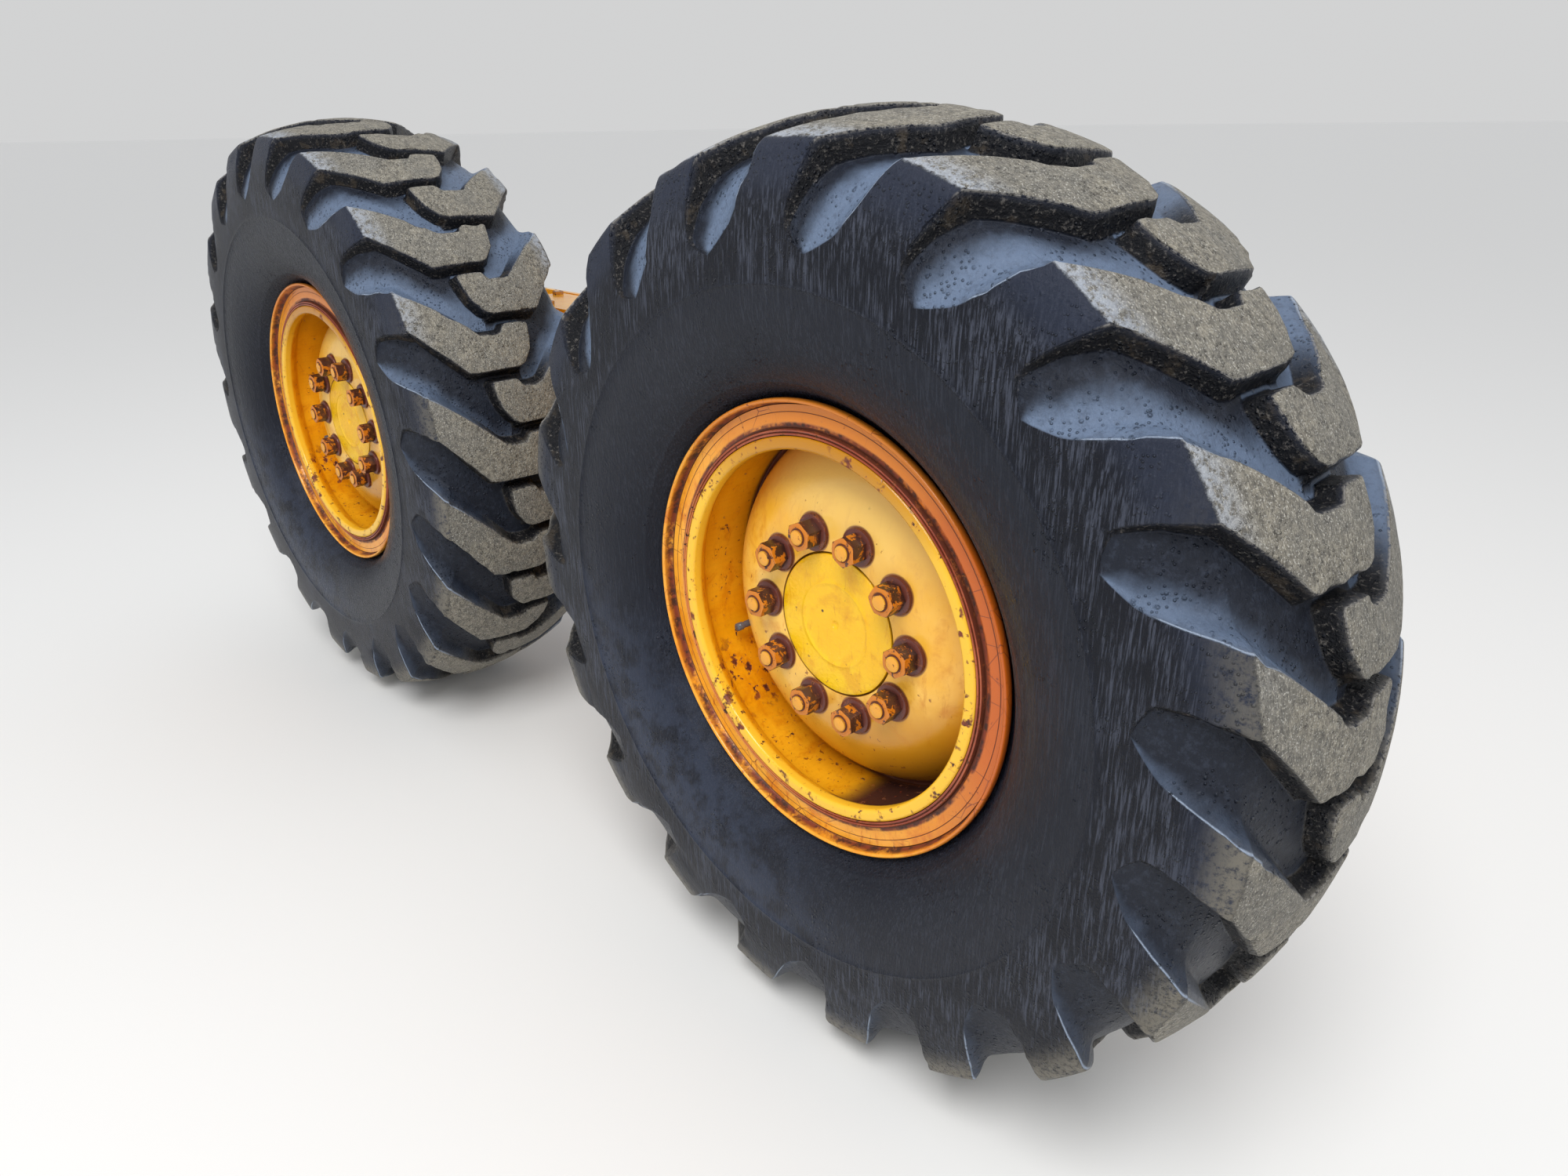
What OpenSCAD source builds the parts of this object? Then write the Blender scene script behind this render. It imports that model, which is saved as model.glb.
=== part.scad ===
// Tandem drive of a motor grader: two tyred wheels on one walking beam case.
// +X is the way the machine drives, +Y points in to the machine, +Z is up.
// The origin is the centre of the face that bolts to the rear axle.

/* [Layout] */
// Distance between the two wheel axles
wheel_base = 1674; // [1560:1:1760]
// How far the wheel axles hang below the pivot
pivot_rise = 50; // [30:1:80]
// Gap between a tyre's inner side and the case
tyre_gap = 53; // [20:1:80]
// Gap between the pivot ring and the axle flange
pivot_gap = 18; // [6:1:40]

/* [Tyre] */
// Crown radius over the lugs
tyre_r = 693; // [670:1:710]
// Section width at the widest place
tyre_w = 432; // [416:1:450]
// Width over the lugs at the shoulder
tread_w = 384; // [350:1:396]
// How far the shoulder lies below the crown
crown_drop = 37; // [20:1:50]
// Depth of the tread
lug_h = 30; // [16:1:36]
// Number of lugs in each of the two rows
lug_n = 19; // [16:1:20]
// Angle of the front tyre's first lug
lug_first = 5; // [0:0.1:18]
// Angle of the rear tyre's first lug
rear_lug_first = 2.5; // [0:0.1:18]
// Width of a lug in the middle of the tread
lug_w = 83; // [70:1:90]
// Width of a lug at the shoulder
lug_shoulder_w = 92; // [76:1:110]
// Width of the sloping side of a lug
lug_side = 12; // [6:1:15]
// Distance from the middle plane to a lug's bend on its lower and its upper side
bend_low = 100; // [90:1:120]
bend_up = 62; // [58:1:80]
// Distance past the middle plane to a lug's end on its lower and its upper side
end_low = 13; // [0:1:30]
end_up = 57; // [40:1:64]
// Sweep of a lug from its bend to the shoulder, along the tread
lug_sweep = 118; // [80:1:150]
// Sweep from the shoulder to the grooves' ends
side_sweep = 42; // [0:1:60]
// Radius of the tips where the grooves end on the sidewall
groove_r = 528; // [516:1:560]
// Height of a groove's pointed end
point_h = 30; // [20:1:50]
// Radius of the widest place
widest_r = 486; // [450:1:500]
// Thickness of the casing
casing_t = 34; // [24:1:45]

/* [Rim] */
// Radius of the bead seats
seat_r = 304.8; // [300:0.1:308]
// Width between the flanges
rim_w = 254; // [240:1:280]
// Height of a flange over its seat
flange_h = 33.2; // [26:0.1:44]
// How far a flange curls out sideways
flange_out = 34; // [30:1:44]
// Thickness of a flange at its foot
flange_t = 15; // [10:1:18]
// Thickness of a flange at its edge
edge_t = 7; // [5:0.5:9]
// Thickness of the barrel under a seat
barrel_t = 19.8; // [16:0.1:24]
// Thickness of the side ring's seat band
band_t = 9.8; // [7:0.1:12]
// Length of the side ring's seat band
band_l = 58; // [40:1:70]
// Distance from the flange plane in to the gutter's lip
lip_at = 7; // [3:1:12]
// How far the lip stands in from the barrel
lip_h = 18; // [12:1:24]
// Width of the gutter lip
lip_w = 18; // [14:1:22]
// Depth of the lock ring's groove
hook_h = 6; // [4:0.5:8]
// Width of that groove
hook_w = 8; // [6:0.5:10]
// Length of the slope behind the lip
lip_slope = 21; // [16:1:30]
// Width of the split in the lock ring
split_w = 5; // [3:0.5:8]

/* [Disc and hub] */
// How far the bolting face lies inside the flange plane
disc_in = 55; // [48:1:62]
// Thickness of the disc
disc_t = 16; // [12:1:20]
// Radius of the flat bolting face
disc_flat_r = 170; // [169:1:185]
// Radius at which the dome starts
dome_from = 150; // [140:1:158]
// Depth of the dome
disc_dome = 110; // [95:1:125]
// Size of the weld between disc and barrel
weld_s = 7; // [4:0.5:10]
// Radius of the hub's pilot
pilot_r = 110; // [100:1:112]
// Radius of the hub's flange
hub_r = 166; // [160:1:170]
// Thickness of the hub's flange
hub_t = 41; // [34:1:50]
// Radius of the hub's shaft
shaft_r = 60; // [50:1:70]
// Number of studs
stud_n = 10; // [8:1:12]
// Diameter of the circle of studs
stud_pcd = 279.4; // [277:0.1:288]
// Radius of a stud
stud_r = 11.1; // [9.5:0.1:12.7]
// How far a stud's end stands out of its nut
stud_out = 3; // [1:0.5:8]
// Size of the nuts across their flats
nut_af = 38; // [34:1:41]
// Length of a nut
nut_h = 28; // [22:1:36]
// Radius of the collar under a nut
collar_r = 29; // [26:1:30]
// Thickness of that collar
collar_t = 5; // [3:1:7]
// Radius of the hub cover
cover_r = 108; // [98:1:109]
// How far the cover stands out of the disc
cover_out = 1; // [0.5:0.5:4]
// Thickness of the cover
cap_t = 9; // [6:1:10]
// Radius of the thin ring on the cover
cover_ring_r = 64; // [50:1:80]
// How far the valve stands in from the barrel
valve_in = 23; // [14:1:40]
// Radius of the valve stem
valve_r = 5; // [4:0.5:7]
// Length of the valve stem outside the disc
valve_out = 35; // [24:1:48]

/* [Spindle housing] */
// Running gap between the hub's flange and the housing
spindle_gap = 6; // [5:1:12]
// Radius of the housing's outer end
spindle_end_r = 98; // [85:1:120]
// Length of the housing's nose
nose_l = 78; // [60:1:90]
// Radius of the brake housing
brake_r = 192; // [170:1:200]
// Radius of the flange on the case
spindle_flange_r = 226; // [215:1:245]
// Thickness of that flange
spindle_flange_t = 26; // [18:1:34]

/* [Case] */
// Width of the case
case_w = 220; // [180:1:260]
// Radius of the round ends about the axles
case_r = 262; // [250:1:280]
// Radius of the swelling round the pivot
boss_r = 318; // [300:1:340]
// Thickness of the side plates
side_plate_t = 14; // [10:1:20]
// How far the side plates stand out past the wrapped plate
side_lip = 10; // [6:1:16]
// Thickness of the bolted covers
cover_t = 12; // [8:1:16]
// Radius of the round cover on the outer side
side_cover_r = 215; // [190:1:225]
// Radius of the round covers behind the axles
back_cover_r = 150; // [120:1:170]
// Length of a top cover
top_cover_l = 300; // [240:1:340]
// Width of a top cover
top_cover_w = 150; // [110:1:160]
// Size of the cover bolts across their flats
bolt_af = 24; // [18:1:28]
// Height of their heads
bolt_h = 8; // [6:1:12]

/* [Pivot] */
// Radius of the trunnion that the case swings on
trunnion_r = 200; // [180:1:210]
// How far the trunnion reaches into the case
trunnion_in = 120; // [90:1:150]
// Width of the retaining ring round the trunnion
ring_w = 62; // [50:1:70]
// Thickness of the retaining ring
ring_t = 22; // [16:1:30]
// Radius of the flange that bolts to the axle
axle_flange_r = 300; // [288:1:330]
// Thickness of that flange
axle_flange_t = 30; // [22:1:40]
// Diameter of its bolt circle
axle_pcd = 530; // [510:1:560]
// Number of its bolts
axle_bolts = 16; // [12:1:20]
// Radius of its bolt holes
axle_hole_r = 11; // [9:0.5:13]
// Radius of the bore for the axle shaft
axle_bore_r = 90; // [70:1:100]

/* [Fits] */
// Running clearance of the shafts and the trunnion
run_fit = 0.05; // [0.02:0.01:0.09]
// Clearance between pieces that sit on each other
seat_fit = 0.3; // [0.2:0.05:0.4]

/* [Hidden] */
$fn = 96;

// Colours
tyre_colour = [0.11, 0.11, 0.12];
base_colour = [0.95, 0.66, 0.08];
ring_colour = [0.93, 0.5, 0.1];
lock_colour = [0.45, 0.13, 0.08];
disc_colour = [0.97, 0.76, 0.3];
cap_colour = [0.98, 0.8, 0.05];
rust_colour = [0.55, 0.27, 0.1];
case_colour = [0.93, 0.66, 0.1];
dark_colour = [0.28, 0.27, 0.28];

// Places along Y, counted from the outer flange plane of the wheels inward
rim_all = rim_w + 2 * flange_out;
case_at = (rim_all + tyre_w) / 2 + tyre_gap;
case_back = case_at + case_w;
face_at = case_back + ring_t + pivot_gap + axle_flange_t;
hub_back = disc_in + disc_t + hub_t;
cap_back = disc_in - cover_out + cap_t;
spindle_at = hub_back + spindle_gap;
shaft_end = case_at - spindle_gap;

// Puts a wheel's pieces at their axle, end +1 in front and -1 behind
module at_axle(end) translate([end * wheel_base / 2, -face_at, -pivot_rise]) children();
// Puts the pieces of the case's middle at the pivot
module at_pivot() translate([0, -face_at, 0]) children();
// Turns a profile of radius and depth about the Y axis
module turned() rotate([-90, 0, 0]) rotate_extrude() children();
// A round rod along Y from y0 to y1
module rod(r, y0, y1) translate([0, y0, 0]) rotate([-90, 0, 0]) cylinder(r = r, h = y1 - y0);
// A hexagon head that stands out from y along Y, towards -1 or +1
module hex_head(y, way, af, h)
    translate([0, y, 0]) rotate([-90 * way, 0, 0]) cylinder(r = af / sqrt(3), h = h, $fn = 6);
// Copies round the Y axis
module round_y(n, r, first = 0) for (i = [0 : n - 1])
    rotate([0, -first - i * 360 / n, 0]) translate([r, 0, 0]) children();

// Tyre: a closed skin of rings about the axle. A ring is a loop of points: six to a pitch of
// the lugs in the middle, four down the lugs' sides, two on the casing, one on the liner.
// Side s is -1 for the outer side and 1 for the inner side, whose lugs lie half a pitch on.
pitch = 360 / lug_n;
shoulder_r = tyre_r - crown_drop;
half_w = tyre_w / 2;
half_tread = tread_w / 2;
function deg(mm) = mm / tyre_r * 180 / PI;
half_lug = deg(lug_w / 2);
half_foot = half_lug + deg(lug_side);
half_end = deg(lug_shoulder_w / 2);
// Angle of lug i of side s
function own(i, s) = (i + (s > 0 ? 0.5 : 0)) * pitch;
// A point: angle, distance from the middle plane and radius
function pt(a, y, r) = [r * cos(a), y, r * sin(a)];
// Points on a lug's top and on the floor between lugs, on the round crown
function crown_r(y) = tyre_r - crown_drop * pow(y / half_tread, 2);
function on_lug(a, y) = pt(a, y, crown_r(y));
function on_floor(a, y) = pt(a, y, crown_r(y) - lug_h);

// Ring at the bends of the side's own lugs, with the ends of the other side's lugs
function ring_middle(s) = [for (i = [0 : lug_n - 1])
    let (a = own(i, s), b = a + pitch / 2) each [
    on_lug(a - half_lug, s * bend_low), on_lug(a + half_lug, s * bend_up),
    on_floor(a + pitch / 4, s * (bend_up + end_low) / 2),
    on_lug(b - half_lug, s * end_low), on_lug(b + half_lug, s * end_up),
    on_floor(b + pitch / 4, s * (end_up + bend_low) / 2)]];
// The next ring, which holds the feet of those ends
function ring_near(s) = [for (i = [0 : lug_n - 1])
    let (a = own(i, s), b = a + pitch / 2, c = a + pitch, q = lug_side) each [
    on_lug(a - half_lug, s * (bend_low + q)), on_lug(a + half_lug, s * (bend_up + q)),
    on_floor(a + half_foot, s * (bend_up + q)),
    on_floor(b - half_lug, s * (end_low + q)), on_floor(b + half_lug, s * (end_up + q)),
    on_floor(c - half_foot, s * (bend_low + q))]];
// Ring further out with the side's own lugs. The lug's top and the groove's floor have
// their own half width as an angle, distance from the middle plane and radius.
function ring_lug(s, shift, top, floor) = [for (i = [0 : lug_n - 1])
    let (a = own(i, s) + shift) each [
    pt(a - top[0], s * top[1], top[2]), pt(a + top[0], s * top[1], top[2]),
    pt(a + floor[0], s * floor[1], floor[2]),
    pt(a + pitch - floor[0], s * floor[1], floor[2])]];
// Ring of the casing, with its flats on the stated radius, and ring of the liner
function ring_casing(s, p) = [for (i = [0 : 2 * lug_n - 1])
    pt(own(i / 2, s) + tip_shift, s * p[0], p[1] / cos(pitch / 4))];
function ring_liner(s, p) = [for (i = [0 : lug_n - 1]) pt(own(i, s) + tip_shift, s * p[0], p[1])];

// Casing and liner rings on one side: distance from the middle plane and radius
bead_y = rim_w / 2 - seat_fit;
bead_r = seat_r + seat_fit;
curl_r = seat_r + 0.45 * flange_h;
flange_r = seat_r + flange_h;
outer = [[half_w, widest_r],
         [half_w - casing_t * 0.6, (widest_r + flange_r) / 2 - casing_t * 0.4],
         [rim_all / 2 - 8, flange_r + 6],
         [bead_y, curl_r],
         [bead_y, bead_r],
         [bead_y - band_l * 0.8, bead_r]];
inner = [[half_w - casing_t, widest_r - casing_t * 0.6],
         [half_w - casing_t * 1.8, shoulder_r - lug_h - casing_t]];
// Rings of one side's lugs: at the shoulder, where the grooves' points start, at their tips
shoulder_shift = deg(lug_sweep);
point_shift = shoulder_shift + deg(side_sweep);
tip_shift = point_shift + deg(lug_side * 0.7);
point_depth = lug_h * 0.45;
lug_rings = [
    [shoulder_shift, [half_end, half_tread, shoulder_r],
        [half_end + deg(lug_side * 1.3), half_tread - lug_h / 2, shoulder_r - lug_h * 0.9]],
    [point_shift, [pitch * 0.26, half_w - 1, groove_r + point_h],
        [pitch * 0.31, half_w - point_depth, groove_r + point_h]],
    [tip_shift, [pitch * 0.46, half_w, groove_r + 1], [pitch * 0.49, half_w, groove_r]]];

// All rings in order, from the outer side's liner over the tread to the inner side's liner
function flip(v) = [for (i = [len(v) - 1 : -1 : 0]) v[i]];
function side(s) = concat([ring_middle(s), ring_near(s)],
    [for (q = lug_rings) ring_lug(s, q[0], q[1], q[2])],
    [for (p = outer) ring_casing(s, p)], [for (p = inner) ring_liner(s, p)]);
loops = concat(flip(side(-1)), side(1));
starts = [for (i = 0, n = 0; i < len(loops); n = n + len(loops[i]), i = i + 1) n];

// Triangles between a fine ring and a coarse one. link gives, for each point of a pitch
// of the fine ring, the point of the coarse ring's pitch that it joins.
function joined(f0, fn, c0, cn, link, out) = let (pf = len(link), pc = cn / (fn / pf)) [
    for (i = [0 : fn - 1]) let (
        m = floor(i / pf) * pc + link[i % pf],
        k = floor((i + 1) / pf) * pc + link[(i + 1) % pf],
        a = f0 + i, b = f0 + (i + 1) % fn, c = c0 + (m + cn) % cn, d = c0 + (k + cn) % cn)
    each (k == m ? [out ? [a, b, c] : [b, a, c]]
                 : [out ? [a, b, c] : [b, a, c], out ? [b, d, c] : [d, b, c]])];
// Links: the two middle rings, other equal rings, middle to lugs, lugs to casing, to liner
function link(i, a, b) =
    i + 1 == len(loops) / 2 ? [-3, -2, -1, 0, 1, 2] : a == b ? [0] :
    max(a, b) == 6 * lug_n ? [0, 1, 2, 2, 3, 3] :
    max(a, b) == 4 * lug_n ? [0, 0, 1, 1] : [0, 0];
function strip(i) = let (j = (i + 1) % len(loops), a = len(loops[i]), b = len(loops[j]))
    a >= b ? joined(starts[i], a, starts[j], b, link(i, a, b), true)
           : joined(starts[j], b, starts[i], a, link(i, a, b), false);

module tyre(end) color(tyre_colour) at_axle(end) translate([0, rim_all / 2, 0])
    rotate([0, -(end > 0 ? lug_first : rear_lug_first), 0])
    polyhedron(points = [for (l = loops) each l],
               faces = [for (i = [0 : len(loops) - 1]) each strip(i)], convexity = 8);

// Rim
barrel_r = seat_r - barrel_t;
ring_r = seat_r - band_t;
lip_r = barrel_r - lip_h;
gutter_r = barrel_r + 0.7;
hook_r = gutter_r - hook_h;
lip_end = lip_at + lip_w;
hook_end = lip_end + hook_w;
lip_round = 5;

// Curl of a flange: radius and distance in from the flange's outermost plane
function curl_inside() = [
    [flange_r, edge_t], [flange_r - 2, 2 * edge_t], [(curl_r + flange_r) / 2, 0.7 * flange_out],
    [curl_r, flange_out - 1.5], [seat_r + 6, flange_out], [seat_r, flange_out]];
function curl_edge() = [
    [flange_r - edge_t, edge_t / 3], [flange_r - edge_t / 2, 0], [flange_r - 1, edge_t / 3]];
// The same points seen from the other side of the wheel
function opposite(v) = [for (p = v) [p[0], rim_all - p[1]]];
// Quarter of a round lip about a centre, from one angle to the other
function quarter(x, y, a0, a1) =
    [for (k = [0 : 3]) let (a = a0 + (a1 - a0) * k / 3) [x + lip_round * cos(a), y + lip_round * sin(a)]];

// Barrel with the gutter's lip on the outer side and the fixed flange at the back
module rim_base(end) color(base_colour) at_axle(end) turned() {
    back_y = rim_all - flange_out;
    polygon(concat(
        quarter(gutter_r - lip_round, lip_at + lip_round, 0, -90),
        quarter(lip_r + lip_round, lip_at + lip_round, -90, -180),
        [[lip_r, lip_end], [barrel_r, lip_end + lip_slope], [barrel_r, back_y + flange_t],
         [seat_r - 2, back_y + flange_t], [curl_r - 4, rim_all - 3 * edge_t]],
        opposite(curl_edge()), opposite(curl_inside()),
        [[seat_r, back_y - band_l + 10], [ring_r, back_y - band_l], [ring_r, hook_end],
         [hook_r, hook_end], [hook_r, lip_end], [gutter_r, lip_end]]));
}

module side_ring(end) color(ring_colour) at_axle(end) turned()
    polygon(concat(
        [[ring_r + seat_fit, lip_at + 9], [seat_r, lip_at + 10], [flange_r - 12, lip_at + 10],
         [flange_r - edge_t - 2, edge_t + 1]],
        curl_edge(), curl_inside(),
        [[seat_r, flange_out + band_l], [ring_r + seat_fit, flange_out + band_l]]));

split_a = 228;
module lock_ring(end) color(lock_colour) at_axle(end) difference() {
    turned() {
        r0 = gutter_r + seat_fit;
        foot_y = lip_end + seat_fit;
        end_y = hook_end - seat_fit;
        polygon([[r0, lip_at + 4], [r0 + 2, lip_at + 2], [r0 + 3.5, lip_at + 2], [r0 + 4.2, lip_at + 5],
                 [r0 + 5.3, lip_at + 5], [r0 + 6.5, lip_at + 2.5], [ring_r - 1, lip_at + 3],
                 [ring_r, lip_at + 5], [ring_r, end_y], [hook_r + seat_fit, end_y],
                 [hook_r + seat_fit, foot_y], [r0, foot_y]]);
    }
    rotate([0, -split_a, 0]) translate([hook_r - 5, 0, -split_w / 2])
        cube([seat_r - hook_r, hook_end + 5, split_w]);
}

// Disc and hub
disc_r = barrel_r - seat_fit;
dome_run = disc_r - dome_from;
dome_r = (dome_run * dome_run + disc_dome * disc_dome) / (2 * disc_dome);
// Depth of the disc's outer skin at a radius past the flat
function skin(r) = disc_in + dome_r - sqrt(pow(dome_r, 2) - pow(r - dome_from, 2));
// Depth of the disc's inner face there
function back(r) = disc_in + dome_r - sqrt(pow(dome_r - disc_t, 2) - pow(r - dome_from, 2));
valve_at = barrel_r - valve_in;
valve_a = 201;

module disc(end) color(disc_colour) at_axle(end) difference() {
    turned() {
        translate([pilot_r + seat_fit, disc_in])
            square([disc_flat_r - pilot_r - seat_fit, disc_t]);
        translate([dome_from, disc_in + dome_r]) intersection() {
            difference() {
                circle(r = dome_r);
                circle(r = dome_r - disc_t);
            }
            translate([0, -dome_r]) square([dome_run, dome_r]);
        }
        // Weld to the barrel
        polygon([[disc_r, skin(disc_r) - weld_s], [disc_r, skin(disc_r) + 1],
                 [disc_r - weld_s, skin(disc_r - weld_s) + 1]]);
    }
    round_y(stud_n, stud_pcd / 2) rod(stud_r + 1.4, disc_in - 1, disc_in + disc_t + 1);
    rotate([0, -valve_a, 0]) translate([valve_at, 0, 0])
        rod(valve_r + seat_fit, disc_in, skin(valve_at) + 3 * disc_t);
}

module hub(end) color(base_colour) at_axle(end) {
    turned() polygon([[0, cap_back], [pilot_r - 2, cap_back], [pilot_r, cap_back + 2],
        [pilot_r, disc_in + disc_t], [dome_from, disc_in + disc_t],
        [hub_r, back(hub_r) + seat_fit], [hub_r, hub_back - 4],
        [hub_r - 4, hub_back], [shaft_r, hub_back], [shaft_r, shaft_end], [0, shaft_end]]);
    round_y(stud_n, stud_pcd / 2)
        rod(stud_r, disc_in - collar_t - nut_h - stud_out, disc_in + disc_t + 1);
}

module hub_cover(end) color(cap_colour) at_axle(end) turned() {
    y0 = disc_in - cover_out;
    polygon([[0, y0 + 4], [4, y0 + 3], [6, y0], [cover_ring_r - 2, y0], [cover_ring_r - 1, y0 - 1.5],
             [cover_ring_r + 1, y0 - 1.5], [cover_ring_r + 2, y0], [cover_r - 3, y0],
             [cover_r, y0 + 3], [cover_r, cap_back], [0, cap_back]]);
}

module nuts(end) color(rust_colour) at_axle(end) round_y(stud_n, stud_pcd / 2) difference() {
    nut_at = disc_in - collar_t - nut_h;
    union() {
        turned() polygon([[0, disc_in - collar_t], [collar_r - 3, disc_in - collar_t],
            [collar_r, disc_in - collar_t + 2], [collar_r, disc_in], [0, disc_in]]);
        intersection() {
            hex_head(nut_at, 1, nut_af, nut_h + 1);
            turned() polygon([[0, nut_at], [nut_af / 2 - 1, nut_at], [nut_af / 2 + 4, nut_at + 3],
                [nut_af / 2 + 4, disc_in], [0, disc_in]]);
        }
    }
    rod(stud_r + seat_fit, nut_at - 1, disc_in + 1);
}

// The valve stem stands in a hole near the disc's edge
module valve(end) color(dark_colour) at_axle(end) rotate([0, -valve_a, 0])
    translate([valve_at, 0, 0]) {
        rod(valve_r, skin(valve_at) - valve_out, skin(valve_at) + 2 * disc_t);
        rod(valve_r + 1.5, skin(valve_at) - valve_out - 2, skin(valve_at) - valve_out + 12);
    }

// Housing that carries the wheel's shaft: nose, brake housing and the flange on the case
module spindle(end) color(case_colour) at_axle(end) turned() {
    r0 = shaft_r + run_fit;
    flange_y = case_at - spindle_flange_t;
    polygon([[r0, spindle_at], [spindle_end_r - 4, spindle_at], [spindle_end_r, spindle_at + 4],
             [spindle_end_r + 6, spindle_at + nose_l * 0.6], [brake_r - 30, spindle_at + nose_l],
             [brake_r - 3, spindle_at + nose_l + 3], [brake_r, spindle_at + nose_l + 8],
             [brake_r, flange_y - 24], [brake_r - 12, flange_y - 14], [brake_r - 12, flange_y],
             [spindle_flange_r - 2, flange_y], [spindle_flange_r, flange_y + 2],
             [spindle_flange_r, case_at], [r0, case_at]]);
}

// Case: wrapped plate between two side plates that stand out past it
module case_outline(inset) {
    for (end = [-1, 1]) translate([end * wheel_base / 2, -pivot_rise]) circle(r = case_r - inset);
    translate([-wheel_base / 2, -pivot_rise - case_r + inset])
        square([wheel_base, 2 * (case_r - inset)]);
    intersection() {
        circle(r = boss_r - inset);
        translate([-boss_r, -pivot_rise - case_r + inset]) square([2 * boss_r, 2 * boss_r]);
    }
}
module plate(y0, y1, inset)
    translate([0, y1, 0]) rotate([90, 0, 0]) linear_extrude(y1 - y0) case_outline(inset);

module tandem_case() color(case_colour) at_pivot() difference() {
    union() {
        plate(case_at + 1, case_back - 1, side_lip);
        plate(case_at, case_at + side_plate_t, 0);
        plate(case_back - side_plate_t, case_back, 0);
    }
    rod(trunnion_r + run_fit, case_back - trunnion_in - spindle_gap, case_back + 1);
}

module side_cover() color(case_colour) at_pivot() rod(side_cover_r, case_at - cover_t, case_at);
module back_cover(end) color(case_colour) at_axle(end) rod(back_cover_r, case_back, case_back + cover_t);

// Top covers lie on the wrapped plate, between the side plates
top_z = case_r - side_lip - pivot_rise;
top_x = (boss_r + wheel_base / 2) / 2 - 20;
module top_cover(end) color(case_colour) at_pivot()
    translate([end * top_x - top_cover_l / 2, case_at + (case_w - top_cover_w) / 2, top_z])
        cube([top_cover_l, top_cover_w, cover_t]);

module pivot_ring() color(case_colour) at_pivot() difference() {
    rod(trunnion_r + ring_w, case_back, case_back + ring_t);
    rod(trunnion_r + 1, case_back - 1, case_back + ring_t + 1);
}

bolt_edge = 20;
module cover_bolts() color(rust_colour) {
    at_pivot() round_y(12, side_cover_r - bolt_edge) hex_head(case_at - cover_t, -1, bolt_af, bolt_h);
    at_pivot() round_y(12, trunnion_r + ring_w - bolt_edge) hex_head(case_back + ring_t, 1, bolt_af, bolt_h);
    for (end = [-1, 1]) at_axle(end) {
        round_y(12, spindle_flange_r - bolt_edge + 3)
            hex_head(case_at - spindle_flange_t, -1, bolt_af, bolt_h);
        round_y(8, back_cover_r - bolt_edge) hex_head(case_back + cover_t, 1, bolt_af, bolt_h);
    }
    for (end = [-1, 1], u = [-1, 0, 1], v = [-1, 1]) at_pivot()
        translate([end * top_x + u * (top_cover_l / 2 - bolt_edge),
                   case_at + case_w / 2 + v * (top_cover_w / 2 - bolt_edge), top_z + cover_t])
        cylinder(r = bolt_af / sqrt(3), h = bolt_h, $fn = 6);
}

module breather() color(dark_colour) at_pivot()
    translate([0, case_at + case_w / 2, boss_r - side_lip]) {
        cylinder(r = 12, h = 22);
        translate([0, 0, 20]) cylinder(r = 20, h = 16);
    }

module drain_plugs() color(dark_colour) for (end = [-1, 1]) at_axle(end)
    translate([-end * 60, case_at + case_w / 2, -case_r + side_lip - bolt_h])
        cylinder(r = bolt_af / sqrt(3) + 2, h = bolt_h, $fn = 6);

module axle_end() color(case_colour) at_pivot() difference() {
    turned() polygon([[axle_bore_r, case_back - trunnion_in], [trunnion_r - 3, case_back - trunnion_in],
        [trunnion_r, case_back - trunnion_in + 3], [trunnion_r, face_at - axle_flange_t],
        [axle_flange_r - 2, face_at - axle_flange_t], [axle_flange_r, face_at - axle_flange_t + 2],
        [axle_flange_r, face_at], [axle_bore_r, face_at]]);
    round_y(axle_bolts, axle_pcd / 2) rod(axle_hole_r, face_at - axle_flange_t - 1, face_at + 1);
}

tyre(1);  // front_tyre
rim_base(1);  // front_rim_base
side_ring(1);  // front_side_ring
lock_ring(1);  // front_lock_ring
disc(1);  // front_disc
hub(1);  // front_hub
hub_cover(1);  // front_hub_cover
nuts(1);  // front_nuts
valve(1);  // front_valve
tyre(-1);  // rear_tyre
rim_base(-1);  // rear_rim_base
side_ring(-1);  // rear_side_ring
lock_ring(-1);  // rear_lock_ring
disc(-1);  // rear_disc
hub(-1);  // rear_hub
hub_cover(-1);  // rear_hub_cover
nuts(-1);  // rear_nuts
valve(-1);  // rear_valve
tandem_case();
spindle(1);  // front_spindle
spindle(-1);  // rear_spindle
side_cover();
top_cover(1);  // front_top_cover
top_cover(-1);  // rear_top_cover
back_cover(1);  // front_back_cover
back_cover(-1);  // rear_back_cover
pivot_ring();
cover_bolts();
breather();
drain_plugs();
axle_end();
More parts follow.
